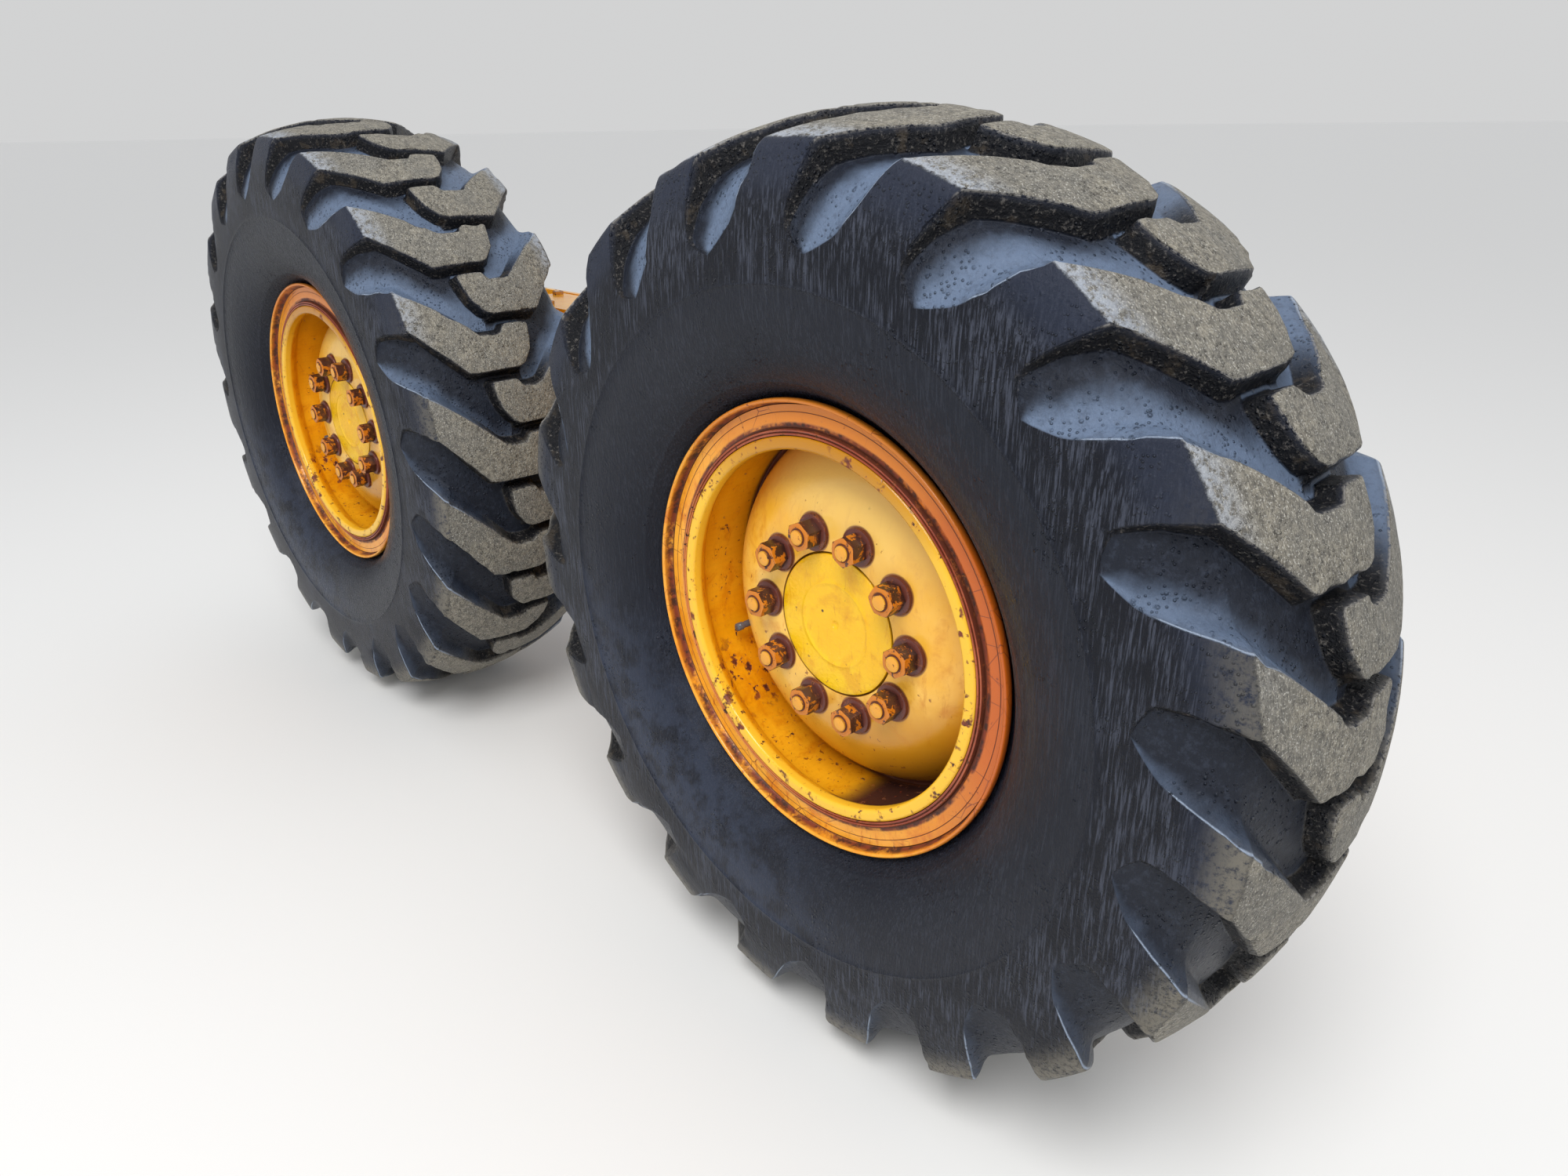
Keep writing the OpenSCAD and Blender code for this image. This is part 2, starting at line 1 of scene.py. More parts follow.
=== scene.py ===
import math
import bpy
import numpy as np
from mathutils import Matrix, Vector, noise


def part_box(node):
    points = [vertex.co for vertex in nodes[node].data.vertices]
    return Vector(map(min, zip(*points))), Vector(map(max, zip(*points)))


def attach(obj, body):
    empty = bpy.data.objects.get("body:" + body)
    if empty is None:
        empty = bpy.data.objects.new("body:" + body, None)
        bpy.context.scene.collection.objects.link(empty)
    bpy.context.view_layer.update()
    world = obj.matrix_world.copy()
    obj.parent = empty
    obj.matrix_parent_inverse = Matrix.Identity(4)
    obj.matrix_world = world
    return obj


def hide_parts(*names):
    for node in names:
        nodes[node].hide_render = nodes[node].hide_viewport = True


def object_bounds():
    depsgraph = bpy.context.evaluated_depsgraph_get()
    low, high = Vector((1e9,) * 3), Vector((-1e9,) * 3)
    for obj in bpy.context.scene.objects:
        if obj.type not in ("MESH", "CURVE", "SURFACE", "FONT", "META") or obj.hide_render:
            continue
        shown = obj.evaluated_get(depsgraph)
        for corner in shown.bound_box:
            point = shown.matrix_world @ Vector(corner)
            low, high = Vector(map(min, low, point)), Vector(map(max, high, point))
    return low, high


# %% [markdown]
# # Tandem drive of a motor grader
# One side of a grader's rear axle: two big wheels on a walking beam that swings about the
# axle's end. The solids of the part come in first, as a fixed frame. Every piece that is
# made here sits on them, in metres: X is forward, Y points in to the machine, Z is up.

# %% Load the frame
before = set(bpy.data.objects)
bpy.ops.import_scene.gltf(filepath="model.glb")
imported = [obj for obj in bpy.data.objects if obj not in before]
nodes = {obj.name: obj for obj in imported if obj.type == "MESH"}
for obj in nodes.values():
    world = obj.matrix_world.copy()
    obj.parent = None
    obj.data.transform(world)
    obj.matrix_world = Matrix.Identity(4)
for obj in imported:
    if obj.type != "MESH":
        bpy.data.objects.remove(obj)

cad_box = [list(corner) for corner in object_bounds()]
MM = 0.001
AXLES = {}
for end in ("front", "rear"):
    low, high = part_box(end + "_hub_cover")
    AXLES[end] = Vector(((low.x + high.x) / 2, 0, (low.z + high.z) / 2))
FLANGE_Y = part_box("front_side_ring")[0].y
MIDDLE_Y = (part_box("front_tyre")[0].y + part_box("front_tyre")[1].y) / 2
print("axles", AXLES, "outer flange plane", round(FLANGE_Y, 4), "tyre's middle", round(MIDDLE_Y, 4))

# %% [markdown]
# ## Camera, floor and light
# A camera has a place, a lens and three directions. The near wheel is seen from in front
# and above, so its far side is much smaller than its near side: a short lens stands close
# by. The light is that of a bright grey day: a pale sky all round and one large soft lamp.

# %% Camera
sight = Vector((-0.66766534, 0.62952293, -0.39739638))
right = Vector((0.68999796, 0.72369737, -0.01284269))
up = Vector((-0.27950995, 0.28277731, 0.91755718))
bpy.ops.object.camera_add(location=(1.81171, -1.68508, 0.61971))
camera = bpy.context.object
camera.rotation_euler = Matrix((right, up, -sight)).transposed().to_euler()
camera.data.sensor_width = 36
camera.data.lens = 24.711
bpy.context.scene.camera = camera
print("camera looks along", tuple(round(c, 3) for c in sight))

# %% Sky and lamp
scene = bpy.context.scene
scene.view_settings.view_transform = "Standard"
sky = bpy.data.worlds.new("Grey sky")
scene.world = sky
sky.use_nodes = True
tree = sky.node_tree
tree.nodes.clear()
# The camera and reflections see plain grey; a paler sky lights the rest
seen = tree.nodes.new("ShaderNodeLightPath")
total = None
for kind in ("Is Camera Ray", "Is Glossy Ray", "Is Transmission Ray"):
    adding = tree.nodes.new("ShaderNodeMath")
    adding.operation = "ADD"
    adding.use_clamp = True
    tree.links.new(seen.outputs[kind], adding.inputs[0])
    adding.inputs[1].default_value = 0
    if total:
        tree.links.new(total, adding.inputs[1])
    total = adding.outputs[0]
lit = tree.nodes.new("ShaderNodeBackground")
lit.inputs["Color"].default_value = (0.95, 0.97, 1.0, 1)
lit.inputs["Strength"].default_value = 0.78
shown = tree.nodes.new("ShaderNodeBackground")
shown.inputs["Color"].default_value = (0.645, 0.648, 0.65, 1)
mixed = tree.nodes.new("ShaderNodeMixShader")
tree.links.new(total, mixed.inputs[0])
tree.links.new(lit.outputs[0], mixed.inputs[1])
tree.links.new(shown.outputs[0], mixed.inputs[2])
tree.links.new(mixed.outputs[0], tree.nodes.new("ShaderNodeOutputWorld").inputs[0])

bpy.ops.object.light_add(type="AREA", location=(2.2, -3.0, 4.2))
lamp = bpy.context.object
lamp.data.shape = "DISK"
lamp.data.size = 3.0
lamp.data.energy = 200
lamp.rotation_euler = (Vector((0, -0.4, 0)) - lamp.location).to_track_quat("-Z", "Y").to_euler()

# %% Floor
bpy.ops.mesh.primitive_plane_add(size=400, location=(0, 0, cad_box[0][2]))
floor = bpy.context.object
floor.name = "floor"
floor_paint = bpy.data.materials.new("Pale floor")
floor_paint.use_nodes = True
matt = floor_paint.node_tree.nodes["Principled BSDF"].inputs
matt["Base Color"].default_value = (0.83, 0.82, 0.80, 1)
matt["Roughness"].default_value = 0.9
matt["Specular IOR Level"].default_value = 0.15
floor.data.materials.append(floor_paint)
print("floor at", round(cad_box[0][2], 4))

# %% [markdown]
# ## A few hand tools
# An operator works on all that is selected, and the frame's solids are selected after
# loading. So each piece starts by clearing the selection. A ring on a wheel is a closed
# loop of points, laid out as radius and depth, which the Spin tool carries round the axle.

# %% Hand tools
def start_clean():
    if bpy.context.object and bpy.context.object.mode != "OBJECT":
        bpy.ops.object.mode_set(mode="OBJECT")
    bpy.ops.object.select_all(action="DESELECT")


def hold(piece):
    start_clean()
    piece.select_set(True)
    bpy.context.view_layer.objects.active = piece


def apply_modifiers(piece):
    hold(piece)
    for modifier in list(piece.modifiers):
        bpy.ops.object.modifier_apply(modifier=modifier.name)


def settle(piece, name, angle=35):
    hold(piece)
    bpy.ops.object.transform_apply(location=True, rotation=True, scale=True)
    bpy.ops.object.shade_smooth_by_angle(angle=math.radians(angle))
    piece.name = name
    piece.data.name = name
    piece.data.update()
    print(name, "faces", len(piece.data.polygons))
    return piece


def weld_points(piece, gap=0.00002):
    hold(piece)
    bpy.ops.object.mode_set(mode="EDIT")
    bpy.ops.mesh.select_all(action="SELECT")
    bpy.ops.mesh.remove_doubles(threshold=gap)
    bpy.ops.mesh.delete_loose()
    bpy.ops.mesh.select_all(action="SELECT")
    bpy.ops.mesh.normals_make_consistent(inside=False)
    bpy.ops.object.mode_set(mode="OBJECT")


def turned_at(profile, centre, steps=36):
    """A turned piece from a closed loop of (radius, depth) in mm. Its axis lies along Y."""
    start_clean()
    bpy.ops.mesh.primitive_circle_add(vertices=len(profile), radius=0.1)
    piece = bpy.context.object
    for point, (radius, depth) in zip(piece.data.vertices, profile):
        point.co = (centre.x + radius * MM, FLANGE_Y + depth * MM, centre.z)
    bpy.ops.object.mode_set(mode="EDIT")
    bpy.ops.mesh.select_all(action="SELECT")
    bpy.ops.mesh.spin(steps=steps, angle=2 * math.pi, center=(centre.x, 0, centre.z), axis=(0, 1, 0))
    bpy.ops.object.mode_set(mode="OBJECT")
    weld_points(piece)
    return piece


def spun_ring(name, profile, axle, steps):
    return settle(turned_at(profile, axle, steps), name)


def copy_of(piece, move):
    """A copy with a mesh of its own, moved by a matrix."""
    twin = piece.copy()
    twin.data = piece.data.copy()
    bpy.context.collection.objects.link(twin)
    twin.data.transform(move)
    return twin


def copy_to_rear(piece, name):
    twin = copy_of(piece, Matrix.Translation(AXLES["rear"] - AXLES["front"]))
    twin.name = name
    twin.data.name = name
    return twin


def join(pieces, into):
    start_clean()
    for piece in pieces:
        piece.select_set(True)
    bpy.context.view_layer.objects.active = into
    bpy.ops.object.join()
    return into


def arc(radius, depth, size, first, last, count=6):
    """Points of a rounded corner about (radius, depth), from one angle to the other."""
    turn = np.radians(np.linspace(first, last, count))
    return [(radius + size * math.cos(a), depth + size * math.sin(a)) for a in turn]


# %% [markdown]
# ## The tyres
# A grader tyre has two rows of hooked lugs. Each lug starts past the middle of the tread,
# runs across, bends and sweeps to the shoulder, and its groove ends in a point low on the
# sidewall. Cutting such lugs out of a ring with booleans leaves ragged edges, so the
# tyre is one woven grid instead: its lines follow the lugs' edges, and each point lies
# between two curves of the section, the floor of the groove and the top of the lug.

# %% Tyre: the two curves of the section
LUGS = 19
PITCH = 360 / LUGS
CROWN_R, CROWN_DROP, HALF_TREAD = 691.4, 37.0, 192.0
RIDGE_Y = 184.0


def crown(y):
    return CROWN_R - CROWN_DROP * (y / HALF_TREAD) ** 2


# The sidewall from the shoulder to the bead and back along the liner: (y, r) in mm
SIDEWALL = [(195.4, 643.5), (199.8, 628), (205.6, 603), (210.4, 570), (213.4, 535), (214.4, 500),
            (213.8, 476), (211.6, 452), (207, 428), (200, 404), (189.5, 381), (177, 364),
            (165, 353), (154.5, 346.5), (147.3, 341.5), (138.5, 332), (130.3, 322.3),
            (126.8, 313), (126.5, 306.5), (121, 305.3), (100, 305.3), (78, 305.5),
            (72, 314), (92, 345), (140, 400), (168, 470), (168, 530), (150, 580), (110, 612),
            (55, 626), (0, 630)]


def smooth_line(points, per):
    """Catmull-Rom curve through the points."""
    p = np.array([points[0]] + list(points) + [points[-1]], float)
    out = []
    for k in range(1, len(p) - 2):
        for s in np.linspace(0, 1, per, endpoint=False):
            a, b, c, d = p[k - 1], p[k], p[k + 1], p[k + 2]
            out.append(0.5 * (2 * b + (c - a) * s + (2 * a - 5 * b + 4 * c - d) * s ** 2
                              + (3 * b - a - 3 * c + d) * s ** 3))
    return np.array(out + [p[-1]])


# Points per stretch of the sidewall, on the crown and round the ridge, and the number of
# stretches from the shoulder down to the bead
PER, CROWN_POINTS, RIDGE_POINTS, DOWN = 12, 93, 12, 17
from_middle = np.linspace(0, RIDGE_Y, CROWN_POINTS)
crown_line = np.stack([from_middle, crown(from_middle)], 1)
start, corner, stop = np.array([RIDGE_Y, crown(RIDGE_Y)]), np.array([192.3, 655.0]), np.array(SIDEWALL[0])
turn = np.linspace(0, 1, RIDGE_POINTS)[1:, None]
ridge_line = (1 - turn) ** 2 * start + 2 * turn * (1 - turn) * corner + turn ** 2 * stop
side_line = smooth_line(SIDEWALL, PER)[1:]
outside = np.concatenate([crown_line, ridge_line, side_line])
# The place along the section is the distance from the middle on the crown, then the length
steps = np.hypot(*np.diff(outside[CROWN_POINTS - 1:], axis=0).T)
run = np.concatenate([from_middle, RIDGE_Y + np.cumsum(steps)])
print("length of half a section", round(float(run[-1])), "mm")


def run_at(radius):
    """How far along the section the sidewall has come down to a radius."""
    part = slice(CROWN_POINTS - 1, CROWN_POINTS - 1 + RIDGE_POINTS + PER * DOWN)
    return float(np.interp(-radius, -outside[part, 1], run[part]))


# %% Tyre: the floor of a groove
DEPTH, SCOOP_FROM, TIP_R = 31.0, 140.0, 530.0


def straight_down(t):
    """The floor under the flat of the tread, at right angles to the crown."""
    lean = np.arctan(2 * CROWN_DROP * t / HALF_TREAD ** 2)
    return np.array([t - DEPTH * np.sin(lean), crown(t) - DEPTH * np.cos(lean)])


# From there one smooth curve runs over the shoulder and out to the tip low on the sidewall
tip_y = float(np.interp(run_at(TIP_R), run, outside[:, 0]))
slope = 2 * CROWN_DROP * SCOOP_FROM / HALF_TREAD ** 2
b0, b3 = straight_down(SCOOP_FROM), np.array([tip_y, TIP_R])
b1, b2 = b0 + 50 * np.array([1, -slope]), b3 + np.array([-12.5, 44])
# How far along the curve the floor is under a place on the outside
UNDER = ([SCOOP_FROM, 184, 203, 219, 245, 278, run_at(TIP_R)], [0, 0.235, 0.33, 0.40, 0.51, 0.72, 1])


def floor_under(t):
    u = np.interp(t, *UNDER)
    curve = sum(np.multiply.outer(w, b) for w, b in (((1 - u) ** 3, b0), (3 * u * (1 - u) ** 2, b1),
                                                     (3 * u * u * (1 - u), b2), (u ** 3, b3)))
    flat = straight_down(np.minimum(t, SCOOP_FROM))
    return np.where(t < SCOOP_FROM, flat[0], curve[..., 0]), np.where(t < SCOOP_FROM, flat[1], curve[..., 1])


def tread_depth(t):
    y, r = floor_under(t)
    deep = np.hypot(np.interp(t, run, outside[:, 0]) - y, np.interp(t, run, outside[:, 1]) - r)
    return np.where(t < run_at(TIP_R), deep, 0)


def on_section(t, height):
    """Distance from the middle and radius, for a height of 0 on the floor and 1 on top."""
    y, r = np.interp(t, run, outside[:, 0]), np.interp(t, run, outside[:, 1])
    fy, fr = floor_under(t)
    sunk = np.where(t < run_at(TIP_R), 1 - height, 0)
    return y + (fy - y) * sunk, r + (fr - r) * sunk


print("groove's depth at the shoulder", round(float(tread_depth(np.array([190.0]))[0]), 1), "mm")


# %% [markdown]
# The grid for one lug of each row: every line across the tyre is set by where the lug's
# two edges are, for the side's own lug and for the end of the lug that reaches over from
# the other side. Between the edges the points keep to a few stations: the foot of the
# wall, the wall, the worn edge and the top.

# %% Tyre: the plan of one lug
# Each line: distance from the middle at the own lug's two edges and at the other lug's
# two edges, the angles of those four edges, and the height of the other lug's end.
PLAN = [
    (0, 0, 0, 0, 0, 7.2, 9.47, 16.67, 1),
    (4, 3, 1.5, 4, 0, 6.9, 9.47, 16.9, 1),
    (9, 8, 3.5, 14, 0, 6.25, 9.47, 16.97, 1),
    (17, 12, 6, 26, 0, 6.1, 9.47, 16.97, 1),
    (30, 16, 7, 40, 0, 6.1, 9.47, 16.97, 1),
    (46, 22, 8, 51, 0, 6.1, 9.47, 16.97, 1),
    (50, 25, 12.5, 55.5, 0, 6.1, 9.47, 16.97, 0.985),
    (52.5, 27, 15, 58, 0, 6.1, 9.47, 16.97, 0.94),
    (55.5, 30, 18, 61, 0, 6.1, 9.47, 16.97, 0.66),
    (58.5, 33, 21.3, 64.3, 0, 6.1, 9.47, 16.97, 0.27),
    (61.5, 36, 24, 67, 0, 6.1, 9.5, 16.9, 0.07),
    (64.5, 38, 27, 70, 0, 6.1, 9.5, 16.8, 0.015),
    (70, 42, 33, 76, 0, 6.12, 9.6, 16.6, 0),
    (79, 47, 45, 82, 0, 6.2, 9.8, 16.2, 0),
    (89, 54, 59, 90, 0.1, 6.35, 10.1, 15.8, 0),
    (98, 61, 71, 95, 0.25, 6.8, 10.6, 15.5, 0)]
# How the rounded end of a lug rises from its low corner to its high corner
END_RISE = ([0, 0.07, 0.2, 0.4, 0.7, 1], [0, 0.28, 0.53, 0.77, 0.93, 1])
# On the sidewall: radius, angle of the own lug's low edge and of its high edge
SIDE_PLAN = np.array([(660, 8.7, 16.35), (650, 9.05, 16.9), (640, 9.4, 17.5), (630, 9.75, 18.05),
                      (618, 10.1, 18.6), (605, 10.6, 19.2), (592, 10.95, 19.9), (580, 11.25, 20.6),
                      (570, 11.5, 21.2), (562, 11.6, 21.8), (555, 11.5, 22.5), (549, 10.9, 23.3),
                      (543, 10.1, 24.2), (537, 9.1, 25.2), (532, 8.1, 26.2), (530, 7.75, 26.55),
                      (528, 7.7, 26.6), (300, 7.7, 26.6)])
# Angles of the own lug's two edges where the tread turns over the ridge
AT_RIDGE = (8.55, 16.2)
# A lug's wall: shares of its width outward from the edge, and the heights there
OUT = np.array([1.45, 1.25, 1.0, 0.7, 0.35])
WALL = np.array([0.0, 0.015, 0.07, 0.27, 0.66])
# Length of a degree on the crown in mm, and the part of a gap that one wall may fill
DEGREE, GAP_PART = 12.07, 3.1


def block(low, high, gap_low, gap_high, wide_low, wide_high, top):
    """Angles and heights of the points over one lug. Widths are in mm, angles in degrees."""
    mm = 1 / DEGREE
    w0 = min(wide_low, gap_low / mm / GAP_PART) * mm
    w1 = min(wide_high, gap_high / mm / GAP_PART) * mm
    inner = min(7 * mm, (high - low) * 0.2)
    edge = min(2.5 * mm, (high - low) * 0.08)
    angles = np.concatenate([low - OUT * w0, [low, low + edge, low + inner],
                             [low + (high - low) * 0.37, low + (high - low) * 0.63],
                             [high - inner, high - edge, high], (high + OUT * w1)[::-1]])
    heights = np.concatenate([WALL, [0.94, 0.985, 1], [1, 1], [1, 0.985, 0.94], WALL[::-1]]) * top
    return angles, heights


def line_across(t4, edges, other=0, wide=(9.5, 12)):
    """One line of the grid over a pitch: place along the section, angle, height, and how far
    a point is across its groove, from the edge below it to the wall above it."""
    al, au, bl, bu = edges
    own = block(al, au, al + PITCH - bu, bl - au, *wide, 1)
    far = block(bl, bu, bl - au, al + PITCH - bu, *wide, other)
    slot = (own[0][-1] + far[0][0]) / 2
    last = (far[0][-1] + own[0][0] + PITCH) / 2
    angle = np.concatenate([own[0], [slot], far[0], [last]])
    height = np.concatenate([own[1], [0], far[1], [0]])
    t = np.interp(angle, [al, au, bl, bu, al + PITCH], [t4[0], t4[1], t4[2], t4[3], t4[0]])
    inside = (angle > bl) & (angle < bu)
    share = (angle[inside] - bl) / (bu - bl)
    t[inside] = t4[2] + (t4[3] - t4[2]) * (share + (np.interp(share, *END_RISE) - share)
                                           * min(1.0, t4[3] / 50) * min(1.0, max(0.0, (100 - t4[3]) / 40)))
    before = angle < al
    t[before] = np.interp(angle[before] + PITCH, [bu, al + PITCH], [t4[3], t4[0]])
    own_mid, far_mid = (al + au) / 2, (bl + bu) / 2
    stops = [al, own_mid, own_mid + 0.01, au], [1, 1, 0, 0]
    if other > 0.5:
        stops = stops[0] + [bl, far_mid, far_mid + 0.01, bu], stops[1] + [1, 1, 0, 0]
    across = np.interp(np.where(before, angle + PITCH, angle), stops[0] + [al + PITCH], stops[1] + [1])
    return t, angle, height, across


# %% Tyre: all lines of one side
POINTS = 38


def groove_edges(al, au):
    """A groove's four edges, with a far lug that has no height left."""
    free = al + PITCH - au
    return al, au, au + 0.52 * free, au + 0.78 * free


half = [line_across(p[:4], p[4:8], p[8]) for p in PLAN]
last = PLAN[-1]
for share in (0.1, 0.22, 0.35, 0.5, 0.65, 0.8, 0.91, 1.0):
    t4 = [a + (RIDGE_Y - a) * share for a in last[:4]]
    al, au = (a + (b - a) * share for a, b in zip(last[4:6], AT_RIDGE))
    far = [au + (a - last[5]) * (1 - share) + (b - au) * share
           for a, b in zip(last[6:8], groove_edges(al, au)[2:])]
    half.append(line_across(t4, (al, au, *far), wide=(9.5, 12 + 12 * share)))
# Over the ridge and down the sidewall: place, radius and the width of the slope below
GROOVE_R = [641, 630, 618, 605, 592, 580, 570, 562, 555, 549, 543, 537, 532, 530, 528]
over_ridge = [(t, float(np.interp(t, run, outside[:, 1])), 26) for t in (186.5, 189, 191.5, 194.5, 198)]
for t, r, wide_high in over_ridge + [(run_at(r), r, 28) for r in GROOVE_R]:
    al, au = (np.interp(-r, -SIDE_PLAN[:, 0], SIDE_PLAN[:, k]) for k in (1, 2))
    half.append(line_across([t] * 4, groove_edges(al, au), wide=(10, wide_high)))
fine_rows = len(half)
# Below the grooves' tips the points spread out evenly over four lines
LOWER_R = [521, 510, 499, 493, 491, 489.5, 488, 486, 480, 466, 448, 428, 408, 390, 376, 367,
           363.5, 362, 360.5, 359, 354, 347]
even = np.arange(POINTS) / POINTS * PITCH + half[-1][1][0]
for k, r in enumerate(LOWER_R):
    ease = min(1, (k + 1) / 4)
    angle = half[fine_rows - 1][1] * (1 - ease) + even * ease
    half.append((np.full(POINTS, run_at(r)), angle, np.ones(POINTS), np.zeros(POINTS)))
bead_run = run_at(346.5)
for t in list(np.linspace(bead_run + 9, bead_run + 50, 5)) + list(np.linspace(bead_run + 75, run[-1], 9)):
    half.append((np.full(POINTS, t), even, np.ones(POINTS), np.zeros(POINTS)))
print("lines on one side", len(half), "of them fine", fine_rows)

# %% [markdown]
# The two moulded rings on the sidewall are added as small lifts of the surface. The grid
# of one pitch is a Grid primitive whose points are laid on the section, then spun round
# the axle nineteen times and welded. Five marks on its points tell the finish and the wear
# what is lug, groove, edge or wall.

# %% Tyre: lay out one pitch
def rise(value, low, high):
    """0 at low, 1 at high and straight between. It falls where low is the larger."""
    return np.clip((value - low) / (high - low), 0, 1)


def moulded_rings(r):
    """Lift of the two thin rings on the sidewall, in mm."""
    return 1.3 * np.exp(-((r - 489.5) / 1.6) ** 2) + 1.0 * np.exp(-((r - 361.5) / 1.3) ** 2)


def lay_side(side):
    """One side's lines: angle, distance from the middle, radius, height, place and across."""
    rows = []
    for t, angle, height, across in half:
        # Over the shoulder the floor is a scoop, deepest under the wall above it
        scoop = 0.2 * (1 - across) ** 2 * rise(t, 150, 190)
        y, r = on_section(t, height + (1 - height) * scoop)
        lift = np.where((t > RIDGE_Y + 40) & (t < bead_run + 2), moulded_rings(r), 0)
        rows.append((angle + (0 if side < 0 else PITCH / 2), side * (y + lift), r, height, t, across))
    return rows


outer, inner = lay_side(-1), lay_side(1)
# The inner side starts half a pitch further round, so its lines are rolled back into step
rolled = [tuple(np.roll(v, POINTS // 2) for v in row) for row in inner]
for row in rolled:
    row[0][:POINTS // 2] -= PITCH
lines = outer[::-1] + rolled[1:]
MARKS = ("lug_top", "groove", "lug_edge", "lug_wall", "groove_across")
place = np.zeros((len(lines), POINTS + 1, 3))
marks = np.zeros((len(lines), POINTS + 1, len(MARKS)))
for j, (angle, *rest) in enumerate(lines):
    angle = np.append(angle, angle[0] + PITCH)
    y, r, height, t, across = (np.append(v, v[0]) for v in rest)
    coarse = abs(j - (len(half) - 1)) >= fine_rows
    if coarse:
        angle[1:-1:2], y[1:-1:2], r[1:-1:2] = angle[0:-2:2], y[0:-2:2], r[0:-2:2]
    a = np.radians(angle)
    place[j] = np.stack([r * np.cos(a), y, r * np.sin(a)], 1) * MM
    deep = tread_depth(t)
    on_top = rise(height, 0.93, 0.99) * rise(t, RIDGE_Y + 12, RIDGE_Y - 6)
    # The edge below a groove falls into it as a smooth slope; the wall above it is dark and steep
    slope = rise(across, 0.5, 0.3) * rise(t, 60, 120)
    in_groove = np.maximum(rise(height, 0.08, 0.01), slope * rise(height, 0.985, 0.925)) * rise(deep, 0, 1.5)
    edge = np.exp(-((height - 0.95) / 0.05) ** 2) * rise(deep, 0, 12)
    wall = rise(height, 0.97, 0.87) * rise(height, 0.01, 0.07) * rise(deep, 0, 10) * (1 - slope)
    marks[j] = np.stack([on_top, in_groove, edge, wall, across], 1)
place += np.array([AXLES["front"].x, MIDDLE_Y, AXLES["front"].z])

# %% Tyre: make the grid and spin it
start_clean()
bpy.ops.mesh.primitive_grid_add(x_subdivisions=POINTS, y_subdivisions=len(lines) - 1, size=1)
pitch = bpy.context.object
pitch.data.vertices.foreach_set("co", place.reshape(-1))
for k, name in enumerate(MARKS):
    layer = pitch.data.attributes.new(name, "FLOAT", "POINT")
    layer.data.foreach_set("value", marks[:, :, k].reshape(-1))
hold(pitch)
bpy.ops.object.mode_set(mode="EDIT")
bpy.ops.mesh.select_all(action="SELECT")
bpy.ops.mesh.spin(steps=LUGS - 1, angle=-math.radians(PITCH) * (LUGS - 1), dupli=True,
                  center=AXLES["front"], axis=(0, 1, 0))
bpy.ops.object.mode_set(mode="OBJECT")
weld_points(pitch, 0.00004)
print("tyre faces", len(pitch.data.polygons), "points", len(pitch.data.vertices))

# %% [markdown]
# Nineteen equal lugs look moulded yesterday. Real ones are worn unevenly, and their edges
# are nicked and torn. Each tyre gets its own wear: its points move along their normals by
# slow waves on the tops and by sharp dips at the lugs' edges.

# %% Tyre: wear, and the rear tyre
# For each tyre: the angle of its first lug in degrees, and the seed of its wear
TURNED_TO = {"front": (39.5, 1.0), "rear": (37.0, 5.0)}
# In metres: waves on the tops, waves on the grooves' floors, roughness there, and nicks
TOP_WAVE, FLOOR_WAVE, ROUGH, NICKS = 0.0012, 0.0016, 0.0007, 0.013


def wear_down(tyre, axle, first_lug, seed):
    tyre.data.transform(Matrix.Translation(-axle))
    tyre.data.transform(Matrix.Rotation(-math.radians(first_lug), 4, "Y"))
    mesh = tyre.data
    n = len(mesh.vertices)
    co, normal = np.zeros(n * 3), np.zeros(n * 3)
    mesh.vertices.foreach_get("co", co)
    mesh.vertices.foreach_get("normal", normal)
    co, normal = co.reshape(-1, 3), normal.reshape(-1, 3)
    read = {}
    for name in MARKS[:3]:
        read[name] = np.zeros(n)
        mesh.attributes[name].data.foreach_get("value", read[name])
    shift = Vector((seed * 3.1, seed * 1.7, seed * 2.3))
    slow, fast, nick = (np.array([noise.noise(Vector(c) * scale + side * shift) for c in co])
                        for scale, side in ((14, 1), (60, 1), (38, -1)))
    # The tops only sink, so no point rises past the crown
    wave = TOP_WAVE * np.minimum(slow, 0) * read["lug_top"]
    below_top = np.clip((1 - read["lug_top"]) * (read["groove"] + read["lug_edge"]), 0, 1)
    wave += FLOOR_WAVE * slow * read["groove"] + ROUGH * fast * below_top
    wave -= NICKS * np.clip(nick - 0.14, 0, 0.5) * read["lug_edge"]
    co += normal * wave[:, None]
    over = np.minimum(1, CROWN_R * MM / np.hypot(co[:, 0], co[:, 2]))
    co[:, 0] *= over
    co[:, 2] *= over
    mesh.vertices.foreach_set("co", co.reshape(-1))
    tyre.data.transform(Matrix.Translation(axle))


tyres = {"front": pitch, "rear": copy_to_rear(pitch, "rear_tyre_worn")}
for end, tyre in tyres.items():
    first_lug, seed = TURNED_TO[end]
    wear_down(tyre, AXLES[end], first_lug % PITCH, seed)
    settle(tyre, end + "_tyre_worn", 40)
    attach(tyre, end + "_wheel")
    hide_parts(end + "_tyre")

# %% [markdown]
# ## Finishes
# A finish is a small tree of nodes. The patterns all read Object coordinates, so they stay
# on the piece. A few helpers keep each tree short: a place to read from, a grain, a
# threshold and a blend.

